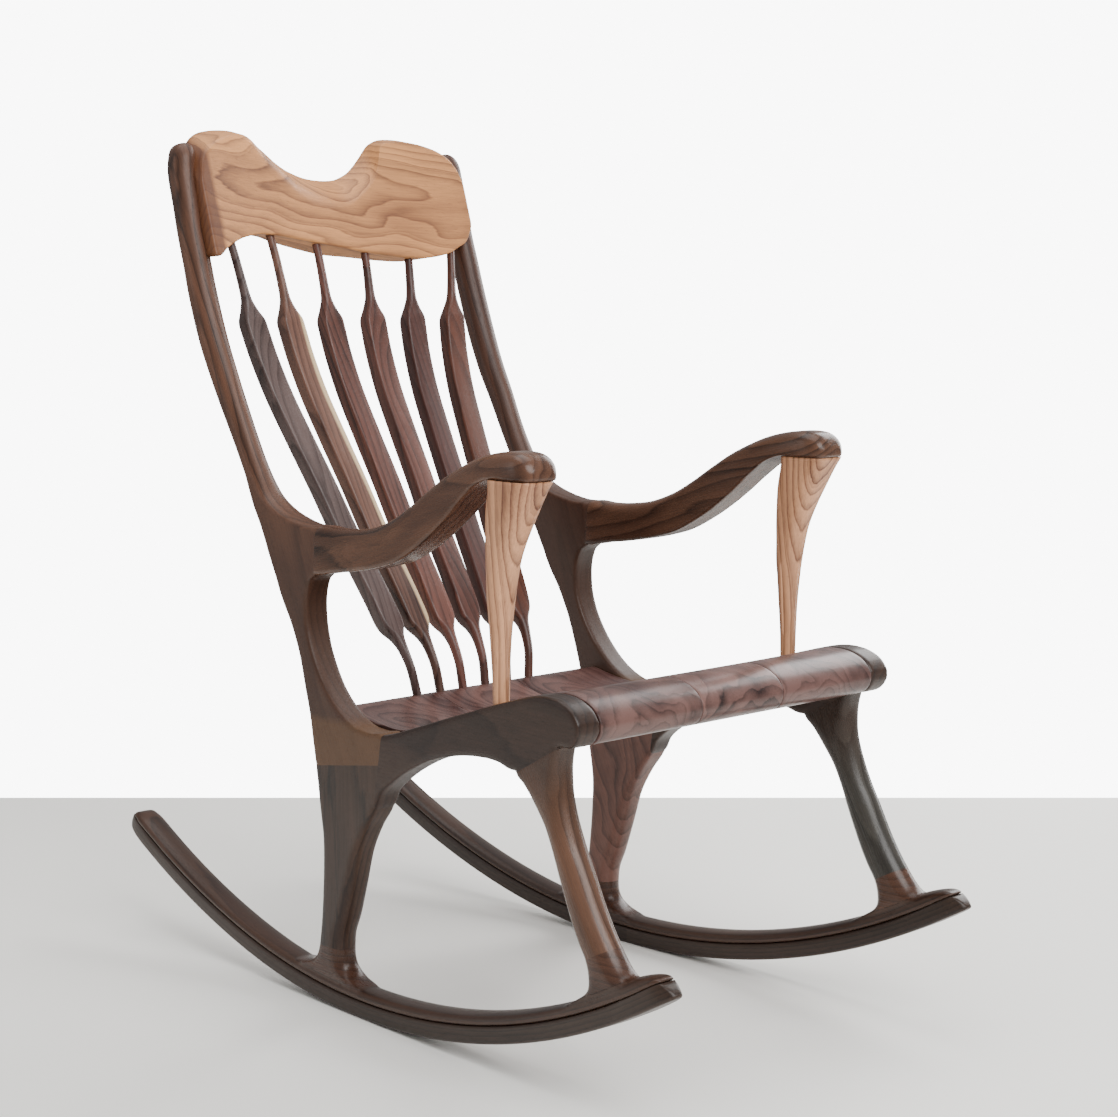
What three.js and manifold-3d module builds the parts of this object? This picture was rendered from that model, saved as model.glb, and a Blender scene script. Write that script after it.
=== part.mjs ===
// Sculpted rocking chair, about 0.57 m wide, 1.12 m long and 1.13 m high.
// Millimetres, +Z up, +Y towards the back, +X towards the sitter's left, floor at Z = 0.
// Each side of the chair is drawn once in its own plane, then toed in and mirrored.
import * as THREE from 'three';
import { mergeVertices } from 'three/addons/utils/BufferGeometryUtils.js';
import Module from 'manifold-3d';

const wasm = await Module();
wasm.setup();

// Driving dimensions
const GAP = 0.3;                 // clearance between pieces that touch
const SIDE_X = 239;              // centre plane of a side, at Y = 0
const TOE = 0.032;               // sides stand closer together towards the back
const ROCKER_RADIUS = 1071;      // underside of the rockers
const ROCKER_DEPTH = 36;         // at the middle of the arc; it tapers towards the tail
const ROCKER_TAPER = 0.07;       // loss of depth per degree round the arc
const ROCKER_WIDTH = 38;
const GLUE_LINE = 22;            // height of the joint between the two rocker laminations
const FACET_DEGREES = 3.5;       // length of one flat of the faceted rocker underside
const LEVEL_FLAT_FRONT = -3;     // front end of the level flat, in degrees round the arc
const MIDDLE_BOARD_HALF = 70.5;  // half width of the middle seat board
const SEAT_EDGE = -16;           // inner face of a seat rail, from the side's centre plane
const DOWEL_RADIUS = 5;
const CORNER_STEPS = 3;          // points round each rounded corner

// ---- solids -------------------------------------------------------------------------------

// Closed solid through rings of points; the flat shape of each end ring is given for its cap.
function loft(rings, firstFlat, lastFlat) {
  const count = rings[0].length;
  const position = rings.flat(2);
  const index = [];
  for (let i = 0; i < rings.length - 1; i += 1) {
    for (let k = 0; k < count; k += 1) {
      const next = (k + 1) % count;
      const a = i * count + k;
      const b = i * count + next;
      index.push(a, b, b + count, a, b + count, a + count);
    }
  }
  const cap = (flat, start, reverse) => {
    const outline = flat.map(([x, y]) => new THREE.Vector2(x, y));
    for (const triangle of THREE.ShapeUtils.triangulateShape(outline, [])) {
      const corners = triangle.map((corner) => corner + start).sort((a, b) => a - b);
      index.push(...(reverse ? corners.reverse() : corners));
    }
  };
  cap(firstFlat, 0, true);
  cap(lastFlat, (rings.length - 1) * count, false);
  return solidOf(position, index);
}

// Welds the points, drops empty triangles and turns the faces outwards.
function solidOf(position, index) {
  const raw = new THREE.BufferGeometry();
  raw.setAttribute('position', new THREE.Float32BufferAttribute(position, 3));
  raw.setIndex(index);
  const welded = mergeVertices(raw, 0.01);
  const points = welded.attributes.position;
  const triangles = [];
  const from = new THREE.Vector3();
  const to = new THREE.Vector3();
  const last = new THREE.Vector3();
  let volume = 0;
  for (let i = 0; i < welded.index.count; i += 3) {
    const corners = [0, 1, 2].map((k) => welded.index.getX(i + k));
    if (new Set(corners).size < 3) continue;
    triangles.push(corners);
    from.fromBufferAttribute(points, corners[0]);
    to.fromBufferAttribute(points, corners[1]);
    last.fromBufferAttribute(points, corners[2]);
    volume += from.dot(to.cross(last));
  }
  if (volume < 0) triangles.forEach((corners) => corners.reverse());
  const triVerts = new Uint32Array(triangles.flat());
  return new wasm.Manifold(new wasm.Mesh({ numProp: 3, vertProperties: points.array, triVerts }));
}

// What is left of a solid after cutting, without the specks that a cut leaves behind.
function cut(solid, ...cutters) {
  const bodies = cutters.reduce((rest, cutter) => rest.subtract(cutter), solid).decompose();
  return bodies.sort((a, b) => b.volume() - a.volume())[0];
}

// Ring around a rounded rectangle: one corner radius on its upper side, one on its lower side.
function roundedRing(halfWidth, halfThickness, upperRadius, lowerRadius) {
  const corners = [[1, 1, upperRadius], [-1, 1, lowerRadius], [-1, -1, lowerRadius], [1, -1, upperRadius]];
  return corners.flatMap(([sideW, sideT, radius], quarter) => {
    const radiusW = Math.min(radius, halfWidth);
    const radiusT = Math.min(radius, halfThickness);
    return Array.from({ length: CORNER_STEPS }, (_, step) => {
      const angle = (quarter + step / (CORNER_STEPS - 1)) * Math.PI / 2;
      return [
        sideW * (halfWidth - radiusW) + radiusW * Math.cos(angle),
        sideT * (halfThickness - radiusT) + radiusT * Math.sin(angle),
      ];
    });
  });
}

// Solid between two edges drawn in the side plane. A station is
// [edge point, opposite edge point, thickness, edge radius, opposite radius, sideways offset].
function strip(stations, grow = 0) {
  const flats = [];
  const rings = stations.map(([edge, opposite, thickness, edgeRadius, oppositeRadius, offset = 0]) => {
    const width = Math.hypot(edge[0] - opposite[0], edge[1] - opposite[1]);
    const along = [(edge[0] - opposite[0]) / width, (edge[1] - opposite[1]) / width];
    const middle = [(edge[0] + opposite[0]) / 2, (edge[1] + opposite[1]) / 2];
    const flat = roundedRing(width / 2 + grow, thickness / 2 + grow, edgeRadius, oppositeRadius);
    flats.push(flat);
    return flat.map(([w, t]) => [offset + t, middle[0] + along[0] * w, middle[1] + along[1] * w]);
  });
  return loft(rings, flats[0], flats[flats.length - 1]);
}

// Station across a rod: centre, lean of the rod from upright in degrees, depth and the rest.
function across(centre, lean, depth, thickness, radius, offset = 0) {
  const angle = THREE.MathUtils.degToRad(lean);
  const half = [Math.cos(angle) * depth / 2, Math.sin(angle) * depth / 2];
  const front = [centre[0] - half[0], centre[1] + half[1]];
  const back = [centre[0] + half[0], centre[1] - half[1]];
  return [front, back, thickness, radius, radius, offset];
}

// Straight dowel between two points, and the slightly larger socket that it sits in.
function dowel(from, to, radius = DOWEL_RADIUS, grow = 0) {
  const start = new THREE.Vector3(...from);
  const end = new THREE.Vector3(...to);
  const length = start.distanceTo(end) + 2 * grow;
  const geometry = new THREE.CylinderGeometry(radius + grow, radius + grow, length, 10);
  geometry.deleteAttribute('normal');
  geometry.deleteAttribute('uv');
  const turn = new THREE.Quaternion().setFromUnitVectors(
    new THREE.Vector3(0, 1, 0),
    end.clone().sub(start).normalize(),
  );
  geometry.applyQuaternion(turn);
  const middle = start.add(end).multiplyScalar(0.5);
  geometry.translate(middle.x, middle.y, middle.z);
  return solidOf([...geometry.attributes.position.array], [...geometry.index.array]);
}

// Value on a smooth curve through [position, value] pairs.
function along(pairs, at) {
  const last = pairs.length - 1;
  let i = pairs.findIndex(([position]) => position >= at);
  if (i === -1) i = last;
  i = Math.min(Math.max(i, 1), last);
  const slope = (k) => {
    const low = pairs[Math.max(k - 1, 0)];
    const high = pairs[Math.min(k + 1, last)];
    return (high[1] - low[1]) / (high[0] - low[0]);
  };
  const [x0, y0] = pairs[i - 1];
  const [x1, y1] = pairs[i];
  const step = x1 - x0;
  const t = THREE.MathUtils.clamp((at - x0) / step, 0, 1);
  const start = y0 * (1 + 2 * t) * (1 - t) ** 2 + slope(i - 1) * step * t * (1 - t) ** 2;
  return start + y1 * t * t * (3 - 2 * t) + slope(i) * step * t * t * (t - 1);
}

// ---- one side, in its own plane: [Y, Z] points, thickness across the plane -------------------

const FLAT = 35;                 // thickness of the planks of a side at the seat
const FLAT_OFFSET = 1.5;         // that plank stands this far outside the centre plane

function backPost() {
  return strip([
    across([396, 1100], 9, 18, 12, 6, 1),
    across([395, 1094], 9, 30, 22, 11, 2),
    across([392, 1080], 9, 38, 30, 15, 4),
    across([388, 1060], 11, 40, 35, 17, 6),
    across([379, 1025], 14, 40, 38, 19, 7.5),
    across([369, 985], 16, 39, 37, 19, 8),
    across([357, 948], 18, 39, 37, 19, 8),
    across([344, 906], 19, 39, 38, 19, 8),
    across([326, 848], 23, 39, 38, 19, 7),
    across([300, 799], 28, 38, 36, 18, 5),
    across([277, 757], 29, 36, 34, 17, 4),
    across([256, 716], 29, 34, 33, 17, 2),
    across([238, 682], 28, 35, 34, 17, 1),
    [[194, 649], [227, 657], 36, 15, 14],
    [[168, 633], [217, 636], 37, 13, 10],
    [[134, 622.5], [205, 611], 37, 12, 8],
    [[104, 618.5], [194, 586], 37, 12, 6],
    [[79, 618], [184, 566], 37, 12, 6],
    [[84, 556], [171, 542], 37, 5, 6],
    [[94, 549], [162, 527], 37, 4, 6],
    [[101.5, 531], [151, 510], 37, 4, 6],
    [[103.5, 510], [141, 494], 37, 4, 6],
    [[100, 481], [131, 472], 37, 4, 6],
    [[87, 449], [120, 446], 36, 4, 6, 0.5],
    [[63, 415], [109, 409], FLAT, 4, 6, FLAT_OFFSET],
    [[33, 388.5], [99, 374], FLAT, 4, 6, FLAT_OFFSET],
    [[0, 373], [94, 346], FLAT, 4, 6, FLAT_OFFSET],
    [[-30, 370], [91, 331], FLAT, 4, 6, FLAT_OFFSET],
    [[-55, 371], [89, 320], FLAT, 4, 6, FLAT_OFFSET],
    [[-48.4, 333], [87, 311.5], FLAT, 4, 6, FLAT_OFFSET],
  ]);
}

function rearLeg() {
  return strip([
    [[-48.1, 332.6], [87, 311.1], FLAT, 5, 6, FLAT_OFFSET],
    [[-43.4, 305], [84.5, 290], FLAT, 5, 7, FLAT_OFFSET],
    [[-38.3, 276], [82, 268], FLAT, 5, 8, FLAT_OFFSET],
    [[-18, 247], [78, 244], 35, 8, 8, FLAT_OFFSET],
    [[0, 214], [75, 219], 36, 11, 9, 1],
    [[14, 168], [77, 171], 37, 14, 11, 0.5],
    [[29, 121], [83, 118], 38, 17, 14],
    [[38, 98], [88, 96], 38, 19, 17],
    [[40.5, 79.5], [92, 77], 38, 19, 18],
  ]);
}

function rearBlock() {
  return strip([
    [[40.6, 79.1], [92.1, 76.6], 38, 19, 18],
    [[40, 64], [97, 63], 38, 19, 18],
    [[33, 50], [107, 54], 38, 19, 18],
    [[16, 40.5], [129, 47.5], 37, 19, 18],
    [[-12, 33], [158, 42], 34, 17, 17],
    [[-14, 24], [160, 30], 20, 10, 10],
  ]);
}

function seatRail() {
  return strip([
    [[-55.6, 371], [-38.8, 276.4], FLAT, 4, 5, FLAT_OFFSET],
    [[-76, 376.5], [-50, 296], FLAT, 4, 5, FLAT_OFFSET],
    [[-105, 386], [-75, 316], FLAT, 4, 5, FLAT_OFFSET],
    [[-140, 397.5], [-108, 336], FLAT, 4, 5, FLAT_OFFSET],
    [[-180, 411], [-150, 355], FLAT, 4, 5, FLAT_OFFSET],
    [[-220, 424], [-198, 368], FLAT, 4, 5, FLAT_OFFSET],
    [[-255, 435.5], [-240, 373.5], FLAT, 4, 5, FLAT_OFFSET],
    [[-285, 445], [-275, 374.3], FLAT, 4, 5, FLAT_OFFSET],
    [[-312, 453], [-306, 368.7], FLAT, 4, 5, FLAT_OFFSET],
    [[-330, 458], [-326, 376.6], FLAT, 4, 5, FLAT_OFFSET],
    [[-348, 461.5], [-345, 387.4], FLAT, 4, 5, FLAT_OFFSET],
    [[-366, 462.3], [-365, 398.6], FLAT, 4, 5, FLAT_OFFSET],
    [[-383, 460.5], [-384.5, 407.8], FLAT, 4, 5, FLAT_OFFSET],
    [[-398, 455.5], [-400, 408.4], FLAT, 4, 5, FLAT_OFFSET],
    [[-409, 448.5], [-411, 415], FLAT, 4, 5, FLAT_OFFSET],
    [[-416.5, 438], [-417, 425], FLAT, 4, 5, FLAT_OFFSET],
  ]);
}

function frontLeg() {
  return strip([
    [[-379.5, 404.4], [-312.7, 368.2], FLAT, 8, 6, FLAT_OFFSET],
    [[-377, 390], [-321, 360.5], 36, 11, 9, 1],
    [[-377, 374], [-330, 352], 38, 15, 12, 0.5],
    [[-380, 351], [-340, 337], 40, 19, 17],
    [[-388.5, 324], [-353, 312], 40, 20, 20],
    [[-399.5, 296.5], [-365, 284], 41, 20, 20],
    [[-413, 272], [-376, 256], 41, 20, 20],
    [[-434, 229], [-397, 208], 42, 21, 21],
    [[-450, 209], [-411, 184], 42, 21, 21],
    [[-462, 191.5], [-422.5, 170], 42, 21, 21],
  ]);
}

function frontBlock() {
  return strip([
    [[-462.1, 191.1], [-422.6, 169.6], 42, 21, 21],
    [[-473, 174], [-427, 151], 42, 21, 21],
    [[-485, 164], [-423, 133], 41, 20, 20],
    [[-496, 163], [-404, 120], 39, 19, 19],
    [[-508, 162], [-378, 104], 35, 17, 17],
    [[-505, 150], [-384, 96], 20, 10, 10],
  ]);
}

function arm() {
  return strip([
    [[78.7, 618], [83.7, 556], 37, 12, 4],
    [[45, 617], [46, 562], 38, 13, 3],
    [[10, 619], [8, 567], 39, 14, 3],
    [[-32, 625.5], [-24, 572.5], 40, 15, 3],
    [[-74, 640], [-52, 578.5], 41, 16, 3],
    [[-110, 659], [-86, 588.5], 42, 17, 3],
    [[-144, 680], [-119, 604.5], 43, 18, 3],
    [[-177, 699], [-152, 624], 44, 18, 3],
    [[-207, 712.5], [-186, 648.5], 46, 18, 3],
    [[-234, 722.5], [-217, 673.5], 50, 18, 3],
    [[-259, 729], [-246, 693], 54, 18, 3],
    [[-284, 733], [-275, 701.3], 57, 18, 3],
    [[-308, 734], [-306, 701.3], 58, 18, 3],
    [[-323, 731.5], [-324, 701.3], 55, 18, 3],
    [[-333, 725], [-334, 701.3], 47, 17, 3],
    [[-339, 714], [-339, 702.5], 32, 6, 3],
  ]);
}

function armPost(grow = 0) {
  const level = (z, y, depth, width, radius) => (
    [[y - depth / 2, z], [y + depth / 2, z], width, radius, radius, 2.5]
  );
  return strip([
    level(701, -301, 70, 57, 16),
    level(688, -296, 66, 55, 17),
    level(661, -285.5, 60, 51, 17),
    level(639, -278.5, 52, 47, 18),
    level(613, -272, 44, 41, 18),
    level(590, -269, 38.5, 37.5, 18),
    level(564, -266.5, 34, 34, 17),
    level(543, -266, 30, 30, 15),
    level(510, -265.5, 25, 25, 13),
    level(470, -266, 21, 21, 11),
    level(436, -266, 19.5, 19.5, 10),
    level(435, -266, 16, 16, 8),
    level(412, -266, 15, 15, 8),
  ], grow);
}

// Point of the rocker at a given angle from the vertical and height above its underside.
function onRocker(degrees, height) {
  const angle = THREE.MathUtils.degToRad(degrees);
  const radius = ROCKER_RADIUS - height;
  return [radius * Math.sin(angle), ROCKER_RADIUS - radius * Math.cos(angle)];
}

// The underside is made of flats whose corners lie a little outside the true arc. One flat is
// level on the floor, and reaches further forwards, under the chair's centre of mass.
const facetStretch = (degrees) => ROCKER_RADIUS / Math.cos(THREE.MathUtils.degToRad(degrees)) - ROCKER_RADIUS;
const FACET_STRETCH = facetStretch(FACET_DEGREES / 2);
const CORNERS = [-7.5, -6.5, -5.5, -4.5, -3.5, -2.5, -1.5].map((step) => step * FACET_DEGREES);
CORNERS.push(LEVEL_FLAT_FRONT);
CORNERS.push(...[0.5, 1.5, 2.5, 3.5, 4.5, 5.5, 6.5, 7.5].map((step) => step * FACET_DEGREES));

const depthAt = (degrees) => ROCKER_DEPTH - ROCKER_TAPER * degrees;

function rockerLower() {
  const upperEdge = GLUE_LINE - GAP / 2;
  const lane = (degrees, top, bottom, thickness) => (
    [onRocker(degrees, top), onRocker(degrees, bottom - FACET_STRETCH), thickness, 2, 3]
  );
  const corner = (degrees) => {
    const stretch = degrees === LEVEL_FLAT_FRONT ? facetStretch(degrees) : FACET_STRETCH;
    return [onRocker(degrees, upperEdge), onRocker(degrees, -stretch), ROCKER_WIDTH, 2, 3];
  };
  return strip([
    lane(-31.6, 1.2, 0.6, 10),
    lane(-31.2, 6, 0.3, 20),
    lane(-30.6, 14, 0, 28),
    lane(-29.9, upperEdge, 0, 32),
    lane(-29.2, upperEdge, 0, 34),
    lane(-28.4, upperEdge, 0, 36),
    ...CORNERS.map(corner),
    lane(28, upperEdge, 0, ROCKER_WIDTH),
    lane(29.4, upperEdge, 0.5, 36),
    lane(30.5, upperEdge, 3, 32),
    lane(31.5, upperEdge - 4, 9, 24),
  ]);
}

function rockerUpper(grow = 0) {
  const lowerEdge = GLUE_LINE + GAP / 2;
  const lane = (degrees, top, thickness = ROCKER_WIDTH) => (
    [onRocker(degrees, top), onRocker(degrees, lowerEdge), thickness, thickness / 2, 2]
  );
  return strip([
    lane(-29.9, 31, 31),
    lane(-29.2, 37.5, 34),
    lane(-28.4, 40, 36),
    ...CORNERS.map((degrees) => lane(degrees, depthAt(degrees))),
    lane(28, depthAt(28)),
    lane(29.4, 32.5, 35),
    lane(30.3, 29, 30),
    lane(31, lowerEdge + 3, 24),
  ], grow);
}

// ---- pieces between the sides -----------------------------------------------------------------

// Outline of the seat from its rear lower edge over the top and the front roll, back underneath:
// [Y, height at the rails, depth of the dish in the middle].
const SEAT_OUTLINE = [
  [92, 356, 0], [93, 368, 0], [84, 380, 0], [66, 385, 0], [40, 380, 2], [0, 374, 5], [-50, 371.5, 6],
  [-100, 383.5, 9], [-150, 400.5, 11], [-200, 417, 12], [-250, 433.5, 11], [-300, 449, 7], [-330, 457.5, 4],
  [-350, 461.5, 1], [-366, 462, 0], [-383, 460, 0], [-398, 455, 0], [-409, 448, 0], [-416.5, 437, 0],
  [-417, 426, 0], [-411, 415.5, 0], [-400, 409, 0], [-384, 408, 0], [-356, 412, 0], [-320, 414, 3],
  [-280, 404, 8], [-240, 394, 11], [-200, 381, 12], [-150, 365, 11], [-100, 349, 9], [-50, 340, 6],
  [0, 343, 5], [50, 349, 2],
];

// Board of the seat between two sides: each side is a function from Y to X.
function seatBoard(lowSide, highSide, lines) {
  const flats = [];
  const rings = Array.from({ length: lines }, (_, line) => {
    const share = line / (lines - 1);
    const ring = SEAT_OUTLINE.map(([y, height, dish]) => {
      const x = lowSide(y) * (1 - share) + highSide(y) * share;
      const bowl = 1 - Math.min(1, Math.abs(x) / 222) ** 2.2;
      return [x, y, height - dish * bowl];
    });
    flats.push(ring.map(([, y, z]) => [y, z]));
    return ring;
  });
  return loft(rings, flats[0], flats[lines - 1]);
}

const railInside = (y) => SIDE_X + SEAT_EDGE - TOE * y - GAP;

const CREST_END = 231;                // half length
const CREST_HOLLOW = 13;              // how far the middle of the face is set back, over 200 mm
const CREST_DEPTH = 46;               // thickness of the slab
const CREST_LEAN = 0.308;             // how far its face leans back for each millimetre up
const CREST_FRONT_TOP = [
  [-231, 1056], [-223, 1079], [-212, 1094], [-194, 1106], [-175, 1114], [-155, 1119], [-137, 1119], [-125, 1113],
  [-115, 1102], [-104, 1092], [-90, 1080], [-72, 1064], [-58, 1052], [-34, 1040], [-2, 1029], [15, 1027.5],
  [33, 1032], [60, 1050], [74, 1063], [82, 1075], [88, 1087], [93, 1101], [99, 1113], [110, 1118], [135, 1119],
  [160, 1116], [180, 1110], [198, 1103], [214, 1093], [224, 1077], [231, 1056],
];
const CREST_BACK_TOP = [
  [-231, 1086], [-220, 1103], [-205, 1118], [-185, 1127], [-152, 1130], [-126, 1128], [-109, 1122], [-98, 1114],
  [-87, 1104], [-77, 1095], [-60, 1083], [-50, 1078], [-26, 1070], [0, 1067], [26, 1068], [40, 1072], [55, 1079],
  [70, 1090], [83, 1101], [98, 1114], [108, 1120], [122, 1125], [145, 1126.5], [165, 1124.5], [185, 1120],
  [205, 1113], [220, 1103], [231, 1086],
];
const CREST_LIP_DEPTH = [[0, 36], [60, 36], [110, 42], [150, 45], [231, 45]];
// How far the underside falls away from the front edge to the back edge
const CREST_UNDERCUT = [
  [-231, 2], [-150, 1], [-121, 3], [-95, 8], [-49, 12], [-11, 13], [32, 10], [76, 8], [119, 6], [162, 3], [231, 2],
];
const CREST_FRONT_BOTTOM = [
  [-231, 955], [-219, 957], [-205, 967], [-188, 975], [-171, 981], [-139, 985.5], [-101, 983], [-64, 978],
  [-28, 972.5], [9, 967], [45, 962], [82, 957.5], [119, 954.5], [150, 955.5], [180, 961], [200, 970],
  [216, 980], [231, 1004],
];

function crestRail(grow = 0) {
  const lines = [
    -CREST_END, -222, -210, -195, -176, -155, -138, -126, -115, -104, -92, -80, -66, -52, -36, -16, 5, 24, 42, 58,
    72, 82, 89, 95, 102, 115, 135, 160, 182, 200, 213, 223, CREST_END,
  ];
  const flats = [];
  const rings = lines.map((x, line) => {
    const end = line === 0 || line === lines.length - 1;
    const inset = end ? 5 : 0;
    const face = (z) => 338 - CREST_HOLLOW * (x / 200) ** 2 + CREST_LEAN * (z - 960);
    const lipDepth = along(CREST_LIP_DEPTH, Math.abs(x));
    const frontTop = along(CREST_FRONT_TOP, x) - inset;
    const backTop = along(CREST_BACK_TOP, x) - inset;
    const frontBottom = along(CREST_FRONT_BOTTOM, x) + inset;
    const backBottom = frontBottom - along(CREST_UNDERCUT, x);
    const corners = [
      [face(frontBottom) + inset - grow, frontBottom - grow, 3],
      [face(frontBottom) - inset + CREST_DEPTH - 3 + grow, backBottom - grow, 5],
      [face(backTop) - inset + lipDepth + grow, backTop + grow, 10],
      [face(frontTop) + inset - grow, frontTop + grow, 4],
    ];
    const flat = corners.flatMap((corner, i) => roundCorner(corners.at(i - 1), corner, corners[(i + 1) % 4]));
    flats.push(flat);
    return flat.map(([y, z]) => [x + Math.sign(x) * (end ? grow : 0), y, z]);
  });
  return loft(rings, flats[0], flats[flats.length - 1]);
}

// Three points that round off the corner of a polygon.
function roundCorner(before, corner, after) {
  const toward = (other, distance) => {
    const length = Math.hypot(other[0] - corner[0], other[1] - corner[1]);
    return [0, 1].map((k) => corner[k] + (other[k] - corner[k]) * distance / length);
  };
  const start = toward(before, corner[2]);
  const end = toward(after, corner[2]);
  const middle = [0, 1].map((k) => (start[k] + end[k]) / 4 + corner[k] / 2);
  return [start, middle, end];
}

// Side curve shared by the spindles: [height, Y], with the socket in the seat at its foot.
const SPINDLE_CURVE = [
  [362, 64], [384, 70], [418, 76], [445, 88], [471, 106], [497, 121], [524, 137], [560, 161], [603, 187],
  [657, 217], [710, 249], [765, 281], [820, 306], [870, 322], [900, 328], [930, 334], [960, 341], [1000, 353],
];
// [height, width, depth, edge radius] from the tenon in the seat to the tenon in the crest
const SPINDLE_SECTIONS = [
  [364, 12, 12, 6], [384, 12, 12, 6], [418, 12, 12, 6], [442, 13.5, 14, 7], [458, 18, 18, 7],
  [470, 31, 21, 5], [480, 34, 22, 4], [505, 34, 22, 4], [540, 34, 22, 4], [590, 34, 22, 4],
  [650, 34, 22, 4], [710, 34, 22, 4], [770, 34, 22, 4], [820, 34, 22, 4], [858, 34, 22, 4],
  [870, 32, 22, 4], [884, 22, 18, 6], [900, 14.5, 14, 7], [930, 12, 12, 6], [960, 11.5, 11.5, 6],
  [994, 11.5, 11.5, 6],
];
const SPINDLE_FOOT_SPACING = 39.4;
const SPINDLE_HEAD = [41, 117, 190];       // distance of a neck from the middle, under the crest
const SPINDLE_HEAD_SHIFT = [7, 4, -4];     // necks stand on a shallow curve

function spindle(number, grow = 0) {
  const place = number - 3.5;
  const rank = Math.floor(Math.abs(place));
  const foot = place * SPINDLE_FOOT_SPACING;
  const head = Math.sign(place) * SPINDLE_HEAD[rank];
  return strip(SPINDLE_SECTIONS.map(([z, width, depth, radius]) => {
    const share = (z - 384) / (960 - 384);
    const y = along(SPINDLE_CURVE, z) + SPINDLE_HEAD_SHIFT[rank] * share;
    const slope = (along(SPINDLE_CURVE, z + 4) - along(SPINDLE_CURVE, z - 4)) / 8;
    const lean = THREE.MathUtils.radToDeg(Math.atan(slope));
    return across([y, z], lean, depth, width, radius, foot + (head - foot) * share);
  }), grow);
}

// ---- materials ----------------------------------------------------------------------------------

const oiled = (color, roughness) => new THREE.MeshStandardMaterial({ color, roughness, metalness: 0 });
const MATERIALS = {
  crest: oiled(0xb98a62, 0.5),
  side: oiled(0x5a4034, 0.42),
  seat: oiled(0x4f3a3a, 0.4),
  support: oiled(0x9a7154, 0.45),
  spindle: oiled(0x4c3431, 0.42),
  rocker: oiled(0x43312b, 0.4),
  dowel: oiled(0xc9a77c, 0.7),
};

function meshOf(name, solid, material) {
  const { vertProperties, triVerts } = solid.getMesh();
  const geometry = new THREE.BufferGeometry();
  geometry.setAttribute('position', new THREE.BufferAttribute(vertProperties, 3));
  geometry.setIndex(new THREE.BufferAttribute(triVerts, 1));
  const mesh = new THREE.Mesh(geometry, material);
  mesh.name = name;
  return mesh;
}

// ---- assembly -------------------------------------------------------------------------------------

// A side's own frame in the chair's: X outwards, Y back, toed in about the upright axis.
function toSide(point, sign) {
  const turned = new THREE.Vector3(...point).applyAxisAngle(new THREE.Vector3(0, 0, 1), Math.atan(TOE));
  return [sign * (turned.x + SIDE_X), turned.y, turned.z];
}

// Copy of a solid drawn in a side's frame, placed in the chair's frame.
function placed(solid, sign) {
  const { vertProperties, triVerts } = solid.getMesh();
  const position = [];
  for (let i = 0; i < vertProperties.length; i += 3) {
    position.push(...toSide([...vertProperties.slice(i, i + 3)], sign));
  }
  return solidOf(position, [...triVerts]);
}

// Hidden dowels of one side: [name, ends, pieces that they join]
const SIDE_DOWELS = [
  ['arm_dowel', [0, 108, 588], [0, 44, 588], ['back_post', 'arm']],
  ['arm_cap_dowel', [2.5, -300, 722], [2.5, -300, 680], ['arm', 'arm_post']],
  ['front_leg_dowel', [1, -352, 420], [1, -366, 356], ['seat_rail', 'front_leg']],
  ['rear_leg_dowel', [1.5, 32, 352], [1.5, 28, 292], ['back_post', 'rear_leg']],
  ['seat_rail_dowel', [1.5, -24, 352], [1.5, -84, 352], ['back_post', 'seat_rail']],
  ['front_block_dowel', [0, -440, 196], [0, -459, 158], ['front_leg', 'front_leg_block']],
  ['rear_block_dowel', [0, 65, 100], [0, 69, 54], ['rear_leg', 'rear_leg_block']],
];

const chair = new THREE.Group();

for (const [side, sign] of [['left', 1], ['right', -1]]) {
  const crestCutter = crestRail(GAP);
  const pieces = {
    back_post: [backPost(), MATERIALS.side],
    rear_leg: [rearLeg(), MATERIALS.side],
    rear_leg_block: [cut(rearBlock(), rockerUpper(GAP), rockerLower()), MATERIALS.rocker],
    seat_rail: [cut(seatRail(), armPost(GAP)), MATERIALS.side],
    front_leg: [frontLeg(), MATERIALS.support],
    front_leg_block: [cut(frontBlock(), rockerUpper(GAP), rockerLower()), MATERIALS.rocker],
    arm: [cut(arm(), armPost(GAP)), MATERIALS.side],
    arm_post: [armPost(), MATERIALS.support],
    rocker_upper: [rockerUpper(), MATERIALS.rocker],
    rocker_lower: [rockerLower(), MATERIALS.rocker],
  };
  for (const [name, from, to, joined] of SIDE_DOWELS) {
    const socket = dowel(from, to, DOWEL_RADIUS, GAP);
    for (const piece of joined) pieces[piece][0] = cut(pieces[piece][0], socket);
    chair.add(meshOf(`${name}_${side}`, placed(dowel(from, to), sign), MATERIALS.dowel));
  }
  for (const [name, [solid, material]] of Object.entries(pieces)) {
    let whole = placed(solid, sign);
    if (name === 'back_post') {
      whole = cut(whole, crestCutter, ...crestDowels(sign, GAP).map(([socket]) => socket));
    }
    chair.add(meshOf(`${name}_${side}`, whole, material));
  }
}

// Two level dowels hold each end of the crest in its notch.
function crestDowels(sign, grow = 0) {
  return [1000, 1066].map((z, number) => {
    const y = 358 + CREST_LEAN * (z - 960);
    return [dowel([sign * 198, y, z], [sign * 244, y, z], DOWEL_RADIUS, grow), number + 1];
  });
}

let crest = crestRail();
for (const [side, sign] of [['left', 1], ['right', -1]]) {
  crest = cut(crest, ...crestDowels(sign, GAP).map(([socket]) => socket));
  for (const [solid, number] of crestDowels(sign)) {
    chair.add(meshOf(`crest_dowel_${side}_${number}`, solid, MATERIALS.dowel));
  }
}

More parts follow.
